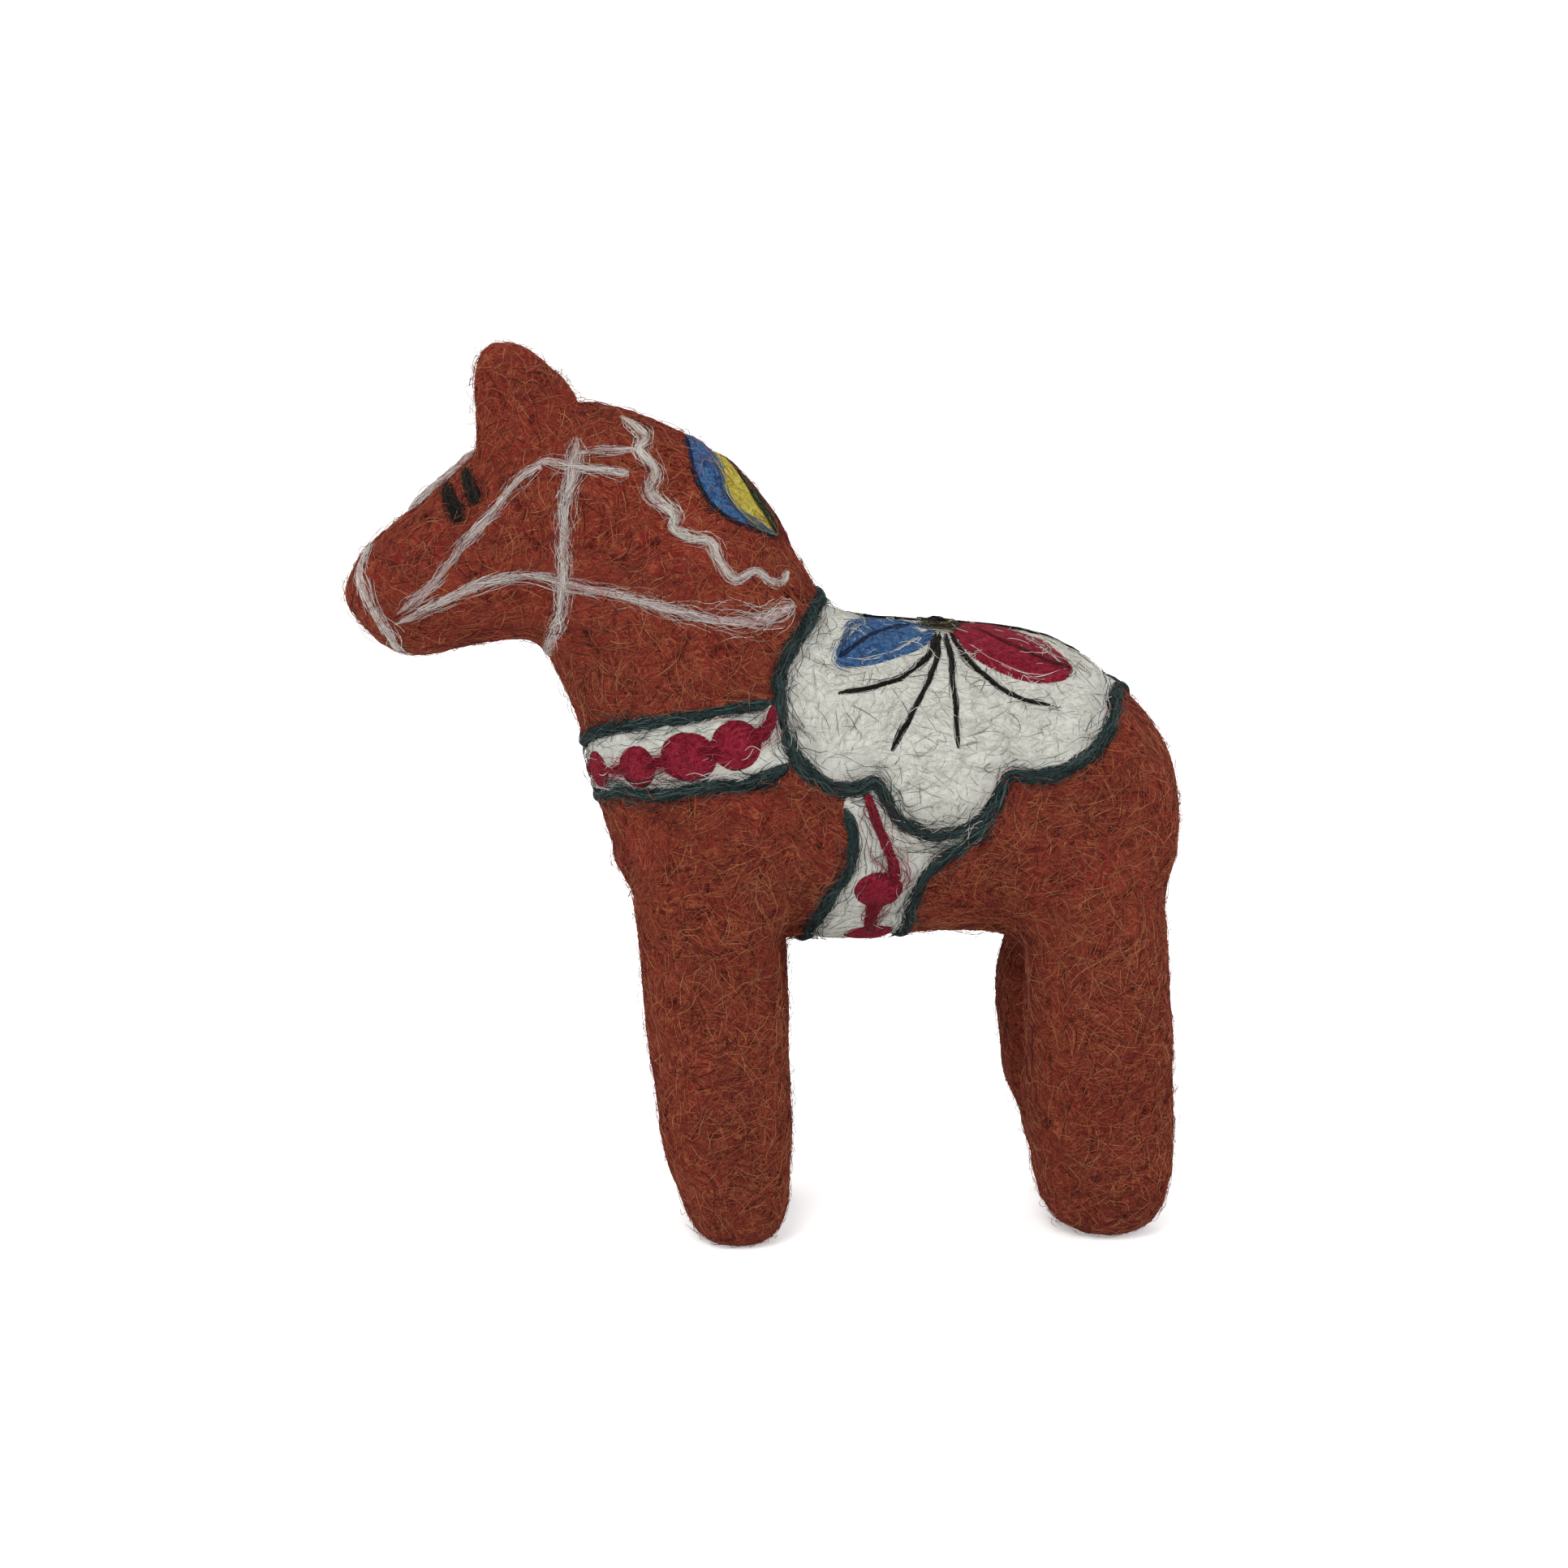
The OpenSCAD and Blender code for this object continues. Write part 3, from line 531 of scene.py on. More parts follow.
skin[:, 2] = np.maximum(skin[:, 2], 0.0)
skin_tree = bvh_of(skin, quads)


def raised(depth, flat, puff, reach):
    """Height over what lies below: sunk outside the edge, and puffing up further in."""
    inside = flat * smoothstep(-0.35, 0.45, depth) + puff * smoothstep(0.2, reach, depth)
    return inside - 0.3 * smoothstep(0.0, -0.7, depth)


blanket_height = raised(blanket_depth, 0.34, 0.62, 4.5)
# Creases run up into the blanket from the notches between its lobes
CREASE_DEEP, CREASE_REACH = 0.4, 1.9
CREASES = [[(11.4, 57.6), (11.8, 61.2), (13.4, 64.4)], [(27.6, 58.4), (28.4, 61.8), (28.2, 64.8)]]
for crease in CREASES:
    off = distance_to_line(side_view, outline(crease, 0.5))
    dip = CREASE_DEEP * (1 - smoothstep(0.0, CREASE_REACH, off))
    blanket_height = blanket_height - dip * smoothstep(0.2, 1.4, blanket_depth)
breast_height = raised(breast_depth, 0.26, 0.12, 2.0)
girth_height = raised(girth_depth, 0.26, 0.12, 2.5)
white_height = np.maximum.reduce([blanket_height, breast_height, girth_height, np.zeros(len(skin))])
white_depth = np.maximum.reduce([blanket_depth, breast_depth, girth_depth])
laid = skin + white_height[:, None] * smooth_normals
laid_tree = bvh_of(laid, quads)

# Needle pits and shallow grooves between the fibres of the coat; the pits are also painted with shade in the
# coat's colour
pit_grid = noise_at(skin, 0.95, 11) + 0.5 * noise_at(skin, 0.6, 12)
pits = smoothstep(0.55, 1.05, -pit_grid)
grooves = np.abs(
    noise_at(skin * [0.5, 1, 1.6], 0.9, 13) + 0.6 * noise_at(skin * [1.5, 1, 0.45], 0.8, 14)
)
relief = 0.07 * grooves - 0.26 * pits + 0.05 * noise_at(skin, 1.6, 15)
coat_points = skin + (relief - 0.03)[:, None] * smooth_normals
coat_points[:, 2] = np.maximum(coat_points[:, 2], 0.0)


def felt_grain(points, seed):
    grain = 0.05 * np.abs(noise_at(points, 0.8, seed)) + 0.05 * noise_at(points, 1.7, seed + 1)
    return grain - 0.12 * smoothstep(0.6, 1.0, noise_at(points, 0.75, seed + 2))


# ---------------------------------------------------------------- materials
LIGHT = 1.4


def wool(r, g, b):
    """The wool that looks like this colour, given from 0 to 255, under the studio's light."""
    return tuple(((v / 255 + 0.055) / 1.055) ** 2.4 / LIGHT for v in (r, g, b))


def nodes_of(name):
    material = bpy.data.materials.new(name)
    material.use_nodes = True
    tree = material.node_tree
    shader = tree.nodes["Principled BSDF"]
    shader.inputs["Specular IOR Level"].default_value = 0.04
    shader.inputs["Roughness"].default_value = 1.0
    return material, tree, shader


def node(tree, kind, **inputs):
    n = tree.nodes.new(kind)
    for key, value in inputs.items():
        n.inputs[key.replace("_", " ")].default_value = value
    return n


def math_node(tree, operation, a, b=None, c=None):
    n = tree.nodes.new("ShaderNodeMath")
    n.operation = operation
    for k, value in enumerate((a, b, c)):
        if value is None:
            continue
        if isinstance(value, (int, float)):
            n.inputs[k].default_value = value
        else:
            tree.links.new(value, n.inputs[k])
    return n.outputs[0]


def mix_colour(tree, factor, a, b):
    n = tree.nodes.new("ShaderNodeMix")
    n.data_type = "RGBA"
    for socket, value in ((n.inputs[0], factor), (n.inputs[6], a), (n.inputs[7], b)):
        if isinstance(value, tuple):
            socket.default_value = (*value, 1)
        elif isinstance(value, (int, float)):
            socket.default_value = value
        else:
            tree.links.new(value, socket)
    return n.outputs[2]


def ramp(tree, value, low, high):
    n = tree.nodes.new("ShaderNodeMapRange")
    n.interpolation_type = "SMOOTHSTEP"
    tree.links.new(value, n.inputs["Value"])
    n.inputs["From Min"].default_value = low
    n.inputs["From Max"].default_value = high
    return n.outputs["Result"]


def vector_math(tree, operation, a, b):
    """Adds or subtracts b, or scales by it. Either value may be a socket or a constant."""
    n = tree.nodes.new("ShaderNodeVectorMath")
    n.operation = operation
    for socket, value in ((n.inputs[0], a), (n.inputs["Scale" if operation == "SCALE" else 1], b)):
        if isinstance(value, (tuple, float)):
            socket.default_value = value
        else:
            tree.links.new(value, socket)
    return n.outputs[0]


def strands(tree, place, warp, turn, stretch, size, width):
    """Thin curving lines, as fibres lying on felt: 1 on a line and 0 off it."""
    mapping = node(tree, "ShaderNodeMapping", Rotation=turn, Scale=stretch)
    tree.links.new(vector_math(tree, "ADD", place, warp), mapping.inputs["Vector"])
    n = node(tree, "ShaderNodeTexNoise", Scale=1 / size, Detail=1.0, Roughness=0.4)
    tree.links.new(mapping.outputs[0], n.inputs["Vector"])
    off = math_node(tree, "ABSOLUTE", math_node(tree, "SUBTRACT", n.outputs["Fac"], 0.5))
    return ramp(tree, off, width, 0.0)


WOBBLE_MM = 14.0


def place_in_mm(tree):
    """The place in mm, and a slow wobble to add to it so that straight fibres curve."""
    coords = tree.nodes.new("ShaderNodeTexCoord")
    place = vector_math(tree, "SCALE", coords.outputs["Object"], 1 / MM)
    wobble = node(tree, "ShaderNodeTexNoise", Scale=0.16, Detail=2.0)
    tree.links.new(place, wobble.inputs["Vector"])
    centre = vector_math(tree, "SUBTRACT", wobble.outputs["Color"], (0.5, 0.5, 0.5))
    return place, vector_math(tree, "SCALE", centre, WOBBLE_MM)


# Each layer of fibres: its turn, its stretch, and the size and width of its lines
LAYERS = [
    ((0.3, 0.2, 0.5), (0.13, 1.0, 1.0), 0.62, 0.055),
    ((0.9, -0.4, 1.7), (0.16, 1.0, 1.0), 0.55, 0.05),
    ((-0.6, 1.1, -0.7), (0.12, 1.0, 1.0), 0.70, 0.045),
    ((1.4, 0.7, 2.6), (0.15, 1.0, 1.0), 0.50, 0.05),
]


def felt(name, dark, base, tints, sheen, bump, coat):
    """Felted wool: layers of fine fibres in several tints crossing over a darker ground."""
    dark, base, sheen = wool(*dark), wool(*base), wool(*sheen)
    material, tree, shader = nodes_of(name)
    place, warp = place_in_mm(tree)
    blotch = node(tree, "ShaderNodeTexNoise", Scale=0.11, Detail=3.0)
    tree.links.new(place, blotch.inputs["Vector"])
    fleck = node(tree, "ShaderNodeTexNoise", Scale=1.5, Detail=3.0, Roughness=0.65)
    tree.links.new(place, fleck.inputs["Vector"])
    colour = mix_colour(tree, ramp(tree, fleck.outputs["Fac"], 0.36, 0.60), dark, base)
    height = math_node(tree, "MULTIPLY", fleck.outputs["Fac"], 0.5)
    if coat:
        split = tree.nodes.new("ShaderNodeSeparateXYZ")
        tree.links.new(place, split.inputs[0])
        low = ramp(tree, split.outputs["Z"], 46.0, 26.0)
        fore = math_node(tree, "MULTIPLY", ramp(tree, split.outputs["X"], 6.0, -14.0),
                         ramp(tree, split.outputs["Z"], 62.0, 80.0))
        patch = ramp(tree, blotch.outputs["Fac"], 0.47, 0.62)
        colour = mix_colour(tree, math_node(tree, "MULTIPLY", patch, 0.6), colour, COAT_RED)
        colour = mix_colour(tree, math_node(tree, "MULTIPLY", low, 0.55), colour, COAT_LEG)
        colour = mix_colour(tree, math_node(tree, "MULTIPLY", fore, 0.6), colour, COAT_HEAD)
    for k, (turn, stretch, size, width) in enumerate(LAYERS):
        line = strands(tree, place, warp, turn, stretch, size, width)
        share, tint = tints[k % len(tints)]
        colour = mix_colour(tree, math_node(tree, "MULTIPLY", line, share), colour, wool(*tint))
        height = math_node(tree, "ADD", height, math_node(tree, "MULTIPLY", line, 0.5))
    # Painted shade in the needle pits: the coat's colour darkens towards the pit shade colour where the pit
    # mask is high
    if coat:
        pit_shade = tree.nodes.new("ShaderNodeAttribute")
        pit_shade.attribute_name = "pit_shade"
        colour = mix_colour(tree, math_node(tree, "MULTIPLY", pit_shade.outputs["Fac"], 0.75), colour, COAT_PIT_SHADE)
    tree.links.new(colour, shader.inputs["Base Color"])
    relief_node = node(tree, "ShaderNodeBump", Strength=bump, Distance=0.0002)
    tree.links.new(height, relief_node.inputs["Height"])
    tree.links.new(relief_node.outputs["Normal"], shader.inputs["Normal"])
    shader.inputs["Sheen Weight"].default_value = 0.05
    shader.inputs["Sheen Roughness"].default_value = 0.5
    shader.inputs["Sheen Tint"].default_value = (*sheen, 1)
    return material


def fibre_tint(name, colour):
    material, _, shader = nodes_of(name)
    shader.inputs["Base Color"].default_value = (*colour, 1)
    shader.inputs["Sheen Weight"].default_value = 0.04
    shader.inputs["Sheen Roughness"].default_value = 0.5
    return material


COAT_RED = wool(122, 37, 33)
COAT_LEG = wool(90, 35, 26)
COAT_HEAD = wool(120, 38, 32)
# Painted shade colour for the coat's needle pits
COAT_PIT_SHADE = wool(48, 16, 11)
# Each wool's dark ground, its base, its fibres' shares of the cover with their tints, and its sheen
FELT_COLOURS = {
    "coat": (
        (70, 25, 19), (107, 42, 31),
        [(0.75, (144, 76, 53)), (0.6, (130, 52, 39)), (0.7, (150, 90, 60)), (0.6, (72, 26, 21))],
        (190, 120, 90),
    ),
    "white": (
        (178, 178, 170), (194, 195, 188),
        [(0.4, (210, 210, 203)), (0.3, (182, 179, 168)), (0.4, (214, 214, 208)), (0.25, (164, 161, 150))],
        (210, 210, 205),
    ),
    "pink_white": (
        (132, 92, 86), (172, 148, 145),
        [(0.6, (198, 184, 182)), (0.5, (142, 98, 92)), (0.6, (206, 192, 190)), (0.4, (120, 66, 58))],
        (215, 205, 202),
    ),
    "teal": (
        (18, 24, 24), (38, 50, 50),
        [(0.7, (68, 84, 80)), (0.5, (24, 32, 34)), (0.5, (58, 78, 76)), (0.4, (14, 18, 18))],
        (90, 110, 110),
    ),
    "black": (
        (12, 10, 10), (26, 23, 20),
        [(0.5, (50, 46, 40)), (0.5, (18, 16, 16)), (0.4, (60, 56, 48)), (0.4, (9, 9, 9))],
        (80, 78, 74),
    ),
    "blue": (
        (30, 50, 84), (52, 86, 128),
        [(0.6, (80, 116, 156)), (0.5, (36, 60, 98)), (0.5, (92, 126, 162)), (0.4, (26, 36, 58))],
        (110, 140, 180),
    ),
    "crimson": (
        (90, 14, 27), (122, 27, 43),
        [(0.6, (142, 44, 60)), (0.5, (98, 16, 30)), (0.5, (150, 54, 70)), (0.4, (70, 12, 22))],
        (180, 100, 110),
    ),
    "yellow": (
        (136, 120, 38), (174, 158, 64),
        [(0.6, (196, 180, 84)), (0.5, (142, 130, 48)), (0.5, (206, 194, 110)), (0.4, (90, 90, 40))],
        (215, 205, 140),
    ),
    "green": (
        (14, 24, 20), (28, 46, 34),
        [(0.6, (48, 70, 48)), (0.5, (18, 28, 24)), (0.5, (76, 92, 52)), (0.4, (12, 16, 14))],
        (80, 110, 80),
    ),
    "core": (
        (190, 178, 150), (210, 200, 174),
        [(0.5, (222, 214, 194)), (0.4, (186, 174, 148)), (0.5, (226, 220, 202)), (0.3, (170, 158, 130))],
        (225, 220, 205),
    ),
}
ROUGH_BUMP, SMOOTH_BUMP = 0.35, 0.15
FELTS = {
    name: felt(f"{name}_felt", *colours, SMOOTH_BUMP if name == "white" else ROUGH_BUMP, name == "coat")
    for name, colours in FELT_COLOURS.items()
}
floor_material, _, floor_shader = nodes_of("floor_paper")
floor_shader.inputs["Base Color"].default_value = (0.85, 0.85, 0.85, 1)
floor_shader.inputs["Emission Color"].default_value = (1, 1, 1, 1)
floor_shader.inputs["Emission Strength"].default_value = 0.32
floor.data.materials.append(floor_material)

for name in ["body_core"] + [leg + "_core" for leg in LEGS]:
    for core_slot in NODES[name].material_slots:
        core_slot.material = FELTS["core"]

FIBRE_COLOURS = {
    "rust": (134, 56, 41), "orange": (156, 80, 55), "gold": (170, 108, 72), "dark_red": (72, 22, 18),
    "red": (128, 42, 39), "white": (216, 216, 208), "cream": (196, 190, 176), "grey": (128, 120, 110),
    "pink_white": (200, 184, 181), "pink": (176, 146, 142), "teal": (44, 60, 60),
    "pale_teal": (78, 96, 92), "dark_teal": (18, 25, 25), "black": (19, 17, 15),
    "charcoal": (48, 44, 38), "blue": (60, 94, 138), "pale_blue": (88, 116, 156),
    "dark_blue": (26, 40, 70), "crimson": (134, 30, 46), "rose": (156, 62, 76), "wine": (80, 15, 26),
    "yellow": (188, 170, 70), "olive": (112, 108, 46), "green": (34, 54, 40),
}
TINTS = {name: fibre_tint("fibre_" + name, wool(*colour)) for name, colour in FIBRE_COLOURS.items()}


# ---------------------------------------------------------------- coat pieces
coat_mesh = build_mesh("coat", coat_points, quads)
coat_normals = normals_of(coat_mesh)
# The needle pit mask, kept on the coat to paint shade into the pits
pit_shade_layer = coat_mesh.attributes.new("pit_shade", "FLOAT", "POINT")
pit_shade_layer.data.foreach_set("value", pits.astype(np.float32))
normal_layer = coat_mesh.attributes.new("skin_normal", "FLOAT_VECTOR", "POINT")
normal_layer.data.foreach_set("vector", coat_normals.astype(np.float32).ravel())


def half(bm, place, normal, keep_above):
    """A closed copy of what lies on one side of a plane, given in mm, with its flat openings capped."""
    piece = bm.copy()
    bmesh.ops.bisect_plane(
        piece, geom=piece.verts[:] + piece.edges[:] + piece.faces[:], dist=1e-9, plane_co=Vector(place) * MM,
        plane_no=Vector(normal), clear_outer=not keep_above, clear_inner=keep_above,
    )
    rim = [e for e in piece.edges if e.is_boundary]
    if rim:
        caps = bmesh.ops.holes_fill(piece, edges=rim, sides=0)["faces"]
        bmesh.ops.triangulate(piece, faces=caps)
    return piece


seam_normal = (-(SEAM_A - SEAM_B)[1], 0, (SEAM_A - SEAM_B)[0])
ear_slope = EAR_REAR - EAR_FRONT
ear_normal = (-ear_slope[1], 0, ear_slope[0])
seam_place = (SEAM_A[0], 0, SEAM_A[1])
ear_place = (EAR_FRONT[0], 0, EAR_FRONT[1])
LEG_SPLIT = 18
whole = bmesh.new()
whole.from_mesh(coat_mesh)
upper = half(whole, (0, 0, LEG_CUT), (0, 0, 1), True)
lower = half(whole, (0, 0, LEG_CUT), (0, 0, 1), False)
head = half(upper, seam_place, seam_normal, True)
fore_legs = half(lower, (LEG_SPLIT, 0, 0), (1, 0, 0), False)
hind_legs = half(lower, (LEG_SPLIT, 0, 0), (1, 0, 0), True)
ears = half(head, ear_place, ear_normal, True)
COAT_PIECES = [
    ("torso_felt", "torso_coat", "rust_wool", half(upper, seam_place, seam_normal, False)),
    ("neck_and_head_felt", "neck_and_head_coat", "red_rust_wool", half(head, ear_place, ear_normal, False)),
]
for far, side in ((False, "left"), (True, "right")):
    COAT_PIECES += [
        (f"{side}_ear_felt", f"{side}_ear", "red_rust_wool", half(ears, (0, 0, 0), (0, 1, 0), far)),
        (f"front_{side}_leg_felt", f"front_{side}_leg_coat", "brown_wool",
         half(fore_legs, (0, 0, 0), (0, 1, 0), far)),
        (f"hind_{side}_leg_felt", f"hind_{side}_leg_coat", "brown_wool",
         half(hind_legs, (0, HIND_MIDDLE, 0), (0, 1, 0), far)),
    ]

for name, node_name, slot, bm in COAT_PIECES:
    mesh = bpy.data.meshes.new(name)
    bm.to_mesh(mesh)
    add_object(name, mesh, FELTS["coat"], [node_name])
    kept = unit_rows(vectors_of(mesh.attributes["skin_normal"].data, "vector"))
    mesh.normals_split_custom_set_from_vertices(kept.tolist())
    mesh.attributes.remove(mesh.attributes["skin_normal"])
for bm in [whole, upper, lower, head, fore_legs, hind_legs, ears] + [piece[3] for piece in COAT_PIECES]:
    bm.free()


# ---------------------------------------------------------------- felted patches
PATCH_REACH, PATCH_UNDER = 0.55, 0.5


def patch(node_name, wool_name, depth, under, height, grain_seed, grain=1.0, where=BOTH_SIDES):
    """A felted layer over part of the skin, closed underneath, whose edge sinks into what lies below."""
    wanted = (depth > -PATCH_REACH) & where
    faces = quads[wanted[quads].all(axis=1)]
    used, index = np.unique(faces, return_inverse=True)
    faces = index.reshape(-1, 4)
    normals = smooth_normals[used]
    rise = under[used] + height[used] + grain * felt_grain(skin[used], grain_seed)
    top = skin[used] + rise[:, None] * normals
    bottom = skin[used] + (under[used] - PATCH_UNDER)[:, None] * normals
    n = len(used)
    edges = np.stack([faces, np.roll(faces, -1, axis=1)], 2).reshape(-1, 2)
    key = edges.min(1) * n + edges.max(1)
    _, first, count = np.unique(key, return_index=True, return_counts=True)
    rim = edges[first[count == 1]]
    sides = np.stack([rim[:, 1], rim[:, 0], rim[:, 0] + n, rim[:, 1] + n], 1)
    name = node_name + "_felt"
    mesh = build_mesh(name, np.vstack([top, bottom]), np.vstack([faces, faces[:, ::-1] + n, sides]))
    add_object(name, mesh, FELTS[wool_name], [node_name])


zero = np.zeros(len(skin))
BREAST_STRAP_TOP, WHITE_GRAIN = 74, 0.45
breast_below_top = np.where(skin[:, 2] < BREAST_STRAP_TOP, breast_depth, FAR_OUTSIDE)
patch("saddle_blanket", "white", blanket_depth, zero, blanket_height, 40, WHITE_GRAIN)
patch("breast_strap", "white", breast_below_top, zero, breast_height, 44, WHITE_GRAIN)
patch("girth", "white", girth_depth, zero, girth_height, 48, WHITE_GRAIN)

for side, where in ON_SIDE.items():
    for polygon, tint in PETALS[side]:
        depth = polygon_depth(side_view, along(polygon + polygon[:1], 0.5)[:-1])
        height = raised(depth, 0.2, 0.12, 1.6)
        patch(f"{side}_{tint}_petal", tint, depth, white_height, height, 52, where=where)
    for k, tint in enumerate(("blue", "yellow", "green")):
        polygon = np.vstack([outline(LEAF_BORDERS[k], 0.5), outline(LEAF_BORDERS[k + 1], 0.5)[::-1]])
        depth = polygon_depth(side_view, polygon)
        height = raised(depth, 0.18 + 0.03 * k, 0.1, 1.2)
        patch(f"{side}_{tint}_crest_leaf", tint, depth, zero, height, 56, where=where)


def on_surface(points, tree, spacing, closed=False):
    return project(tree, along(points, spacing, closed))


def thick_line(points, widths, blend=0.2):
    """How deep each skin point lies inside a line whose width changes from point to point."""
    depth = np.full(len(skin), FAR_OUTSIDE)
    for p0, p1, w0, w1 in zip(points, points[1:], widths, widths[1:]):
        d = p1 - p0
        f = np.clip(((skin - p0) @ d) / (d @ d), 0, 1)
        here = (w0 + (w1 - w0) * f) / 2 - np.linalg.norm(skin - p0 - f[:, None] * d, axis=1)
        h = np.clip(0.5 + 0.5 * (here - depth) / blend, 0, 1)
        depth = depth * (1 - h) + here * h + blend * h * (1 - h)
    return depth


def round_spots(centres, sizes):
    """How deep each skin point lies inside any of the round spots: sizes are radii along and up."""
    depth = np.full(len(skin), FAR_OUTSIDE)
    for centre, (along_mm, up_mm) in zip(centres, sizes):
        flat = np.hypot(skin[:, 0] - centre[0], skin[:, 1] - centre[1]) / along_mm
        share = np.hypot(flat, (skin[:, 2] - centre[2]) / up_mm)
        depth = np.maximum(depth, (1 - share) * min(along_mm, up_mm))
    return depth


# Each line's points are x, z and its width there, and each spot's x, z and its radii along and up
CHAIN = [
    (-0.6, 66.8, 0.8), (-1.1, 65.2, 1.1), (-2.0, 64.0, 1.3), (-3.4, 63.4, 1.6),
    (-5.0, 62.8, 1.3), (-10.6, 61.2, 1.1), (-16.4, 59.6, 1.1), (-20.6, 58.4, 1.0),
]
CHAIN_SPOTS = [
    (-5.2, 62.7, 2.8, 2.8), (-10.7, 61.2, 3.3, 2.8), (-16.4, 59.6, 2.5, 2.4), (-20.6, 58.4, 2.3, 2.3),
]
chain_left = left_line([(x, z) for x, z, _ in CHAIN])
chain_points = np.vstack([chain_left, [middle_point(-22.2, 57.9)], chain_left[::-1] * MIRROR])
chain_widths = [w for _, _, w in CHAIN]
spot_left = left_line([(x, z) for x, z, _, _ in CHAIN_SPOTS])
spot_sizes = [(a, b) for _, _, a, b in CHAIN_SPOTS]
chain_depth = np.maximum(
    thick_line(chain_points, chain_widths + [1.0] + chain_widths[::-1]),
    round_spots(np.vstack([spot_left, spot_left * MIRROR]), spot_sizes * 2),
)
patch("breast_strap_chain", "crimson", chain_depth, white_height, raised(chain_depth, 0.3, 0.35, 2.0), 60)

DROP = [
    (10.4, 56.4, 0.7), (11.4, 53.6, 0.8), (12.6, 50.8, 0.9), (13.7, 48.4, 1.0), (13.9, 46.6, 1.3),
    (12.2, 44.8, 2.0), (11.9, 42.2, 1.5), (11.8, 40.4, 1.3), (12.1, 38.4, 1.6),
]
DROP_SPOTS = [(12.2, 44.8, 2.8, 2.7), (12.1, 38.2, 2.9, 1.8)]
for side, line in SIDES:
    depth = np.maximum(
        thick_line(line([(x, z) for x, z, _ in DROP]), [w for _, _, w in DROP]),
        round_spots(line([(x, z) for x, z, _, _ in DROP_SPOTS]), [(a, b) for _, _, a, b in DROP_SPOTS]),
    )
    height = raised(depth, 0.3, 0.35, 2.0)
    patch(f"{side}_girth_drop", "crimson", depth, white_height, height, 64, where=ON_SIDE[side])


# ---------------------------------------------------------------- felted strands
PROFILE = np.linspace(-1, 1, 9)
UNDERSIDE, UNDERSIDE_DEEP = (0.7, -0.7), 0.4
BURIED, ROUNDNESS = 0.18, 2.4
STRAND_STEP = 0.35
# How much a hand-laid strand wavers to the side, in width and in height, and over what length
SIDE_WAVER, WIDTH_WAVER, HEIGHT_WAVER = (0.13, 2.6), (0.22, 1.8), (0.25, 1.4)
NORMAL_WINDOW, END_WIDTH = 5, 0.3


def strand_top(height, u):
    """How high the rounded top of a strand stands at u, which is -1 and 1 at its edges."""
    return (height + BURIED) * (1 - np.abs(u) ** ROUNDNESS) - BURIED


def tangents(centre, closed):
    if closed:
        return np.roll(centre, -1, axis=0) - np.roll(centre, 1, axis=0)
    return np.gradient(centre, axis=0)


def strand_mesh(lines):
    """Closed half-round strands: each line is points, normals, half widths, heights and a closed flag."""
    points, faces, caps, base = [], [], [], 0
    for centre, normals, half_width, height, closed in lines:
        n = len(centre)
        across = unit_rows(np.cross(tangents(centre, closed), normals))
        rows = []
        for u in PROFILE:
            lift = strand_top(height, u)
            rows.append(centre + across * (u * half_width)[:, None] + normals * lift[:, None])
        for u in UNDERSIDE:
            rows.append(centre + across * (u * half_width)[:, None] - normals * UNDERSIDE_DEEP)
        ring = len(rows)
        block = np.stack(rows, 1)
        flat = block.reshape(-1, 3)
        grain = 0.05 * noise_at(flat, 0.7, 71) + 0.04 * noise_at(flat, 1.5, 72)
        block = block + grain.reshape(n, ring)[:, :, None] * normals[:, None, :]
        points.append(block.reshape(-1, 3))
        i = np.arange(n if closed else n - 1)
        j = (i + 1) % n
        for k in range(ring):
            m = (k + 1) % ring
            faces.append(base + np.stack([i * ring + k, j * ring + k, j * ring + m, i * ring + m], 1))
        if not closed:
            for first, flip in ((0, False), ((n - 1) * ring, True)):
                for k in range(1, ring - 1):
                    tri = (base + first, base + first + k, base + first + k + 1)
                    caps.append(tri[::-1] if flip else tri)
        base += n * ring
    return np.vstack(points), np.vstack(faces), np.array(caps, int).reshape(-1, 3)


def waver(amount, centre, seed):
    return amount[0] * noise_at(centre, amount[1], seed)


def strand_lines(routes, tree, half_width, height, closed=False, lift=0.0, widths=None, seed=81, taper=1.6):
    """Routes laid on a surface, with a hand-made waver of place, width and height."""
    lines = []
    for route in routes:
        centre, normals = on_surface(route, tree, STRAND_STEP, closed)
        n = len(centre)
        across = unit_rows(np.cross(tangents(centre, closed), normals))
        centre = centre + across * waver(SIDE_WAVER, centre, seed)[:, None]
        centre, normals = project(tree, centre)
        kernel, reach = np.ones(NORMAL_WINDOW) / NORMAL_WINDOW, NORMAL_WINDOW // 2
        pad = np.pad(normals, ((reach, reach), (0, 0)), mode="wrap" if closed else "edge")
        normals = unit_rows(np.stack([np.convolve(pad[:, k], kernel, mode="valid") for k in range(3)], 1))
        width = half_width * (1 + waver(WIDTH_WAVER, centre, seed + 1))
        if widths is not None:
            width = width * np.interp(np.linspace(0, 1, n), np.linspace(0, 1, len(widths)), widths)
        tall = height * (1 + waver(HEIGHT_WAVER, centre, seed + 2))
        if not closed:
            ends = np.minimum(np.arange(n), np.arange(n)[::-1]) * STRAND_STEP
            soft = END_WIDTH + (1 - END_WIDTH) * smoothstep(0, taper, ends)
            width, tall = width * soft, tall * soft
        lines.append((centre + normals * lift, normals, width, tall, closed))
    return lines


STRAND_TINTS = {
    "teal": ("teal", "dark_teal", "pale_teal"), "pink_white": ("pink_white", "white", "pink"),
    "black": ("black", "charcoal"), "crimson": ("crimson", "wine", "rose"),
}
WISP_HEIGHT = 0.12
fibre_jobs = []


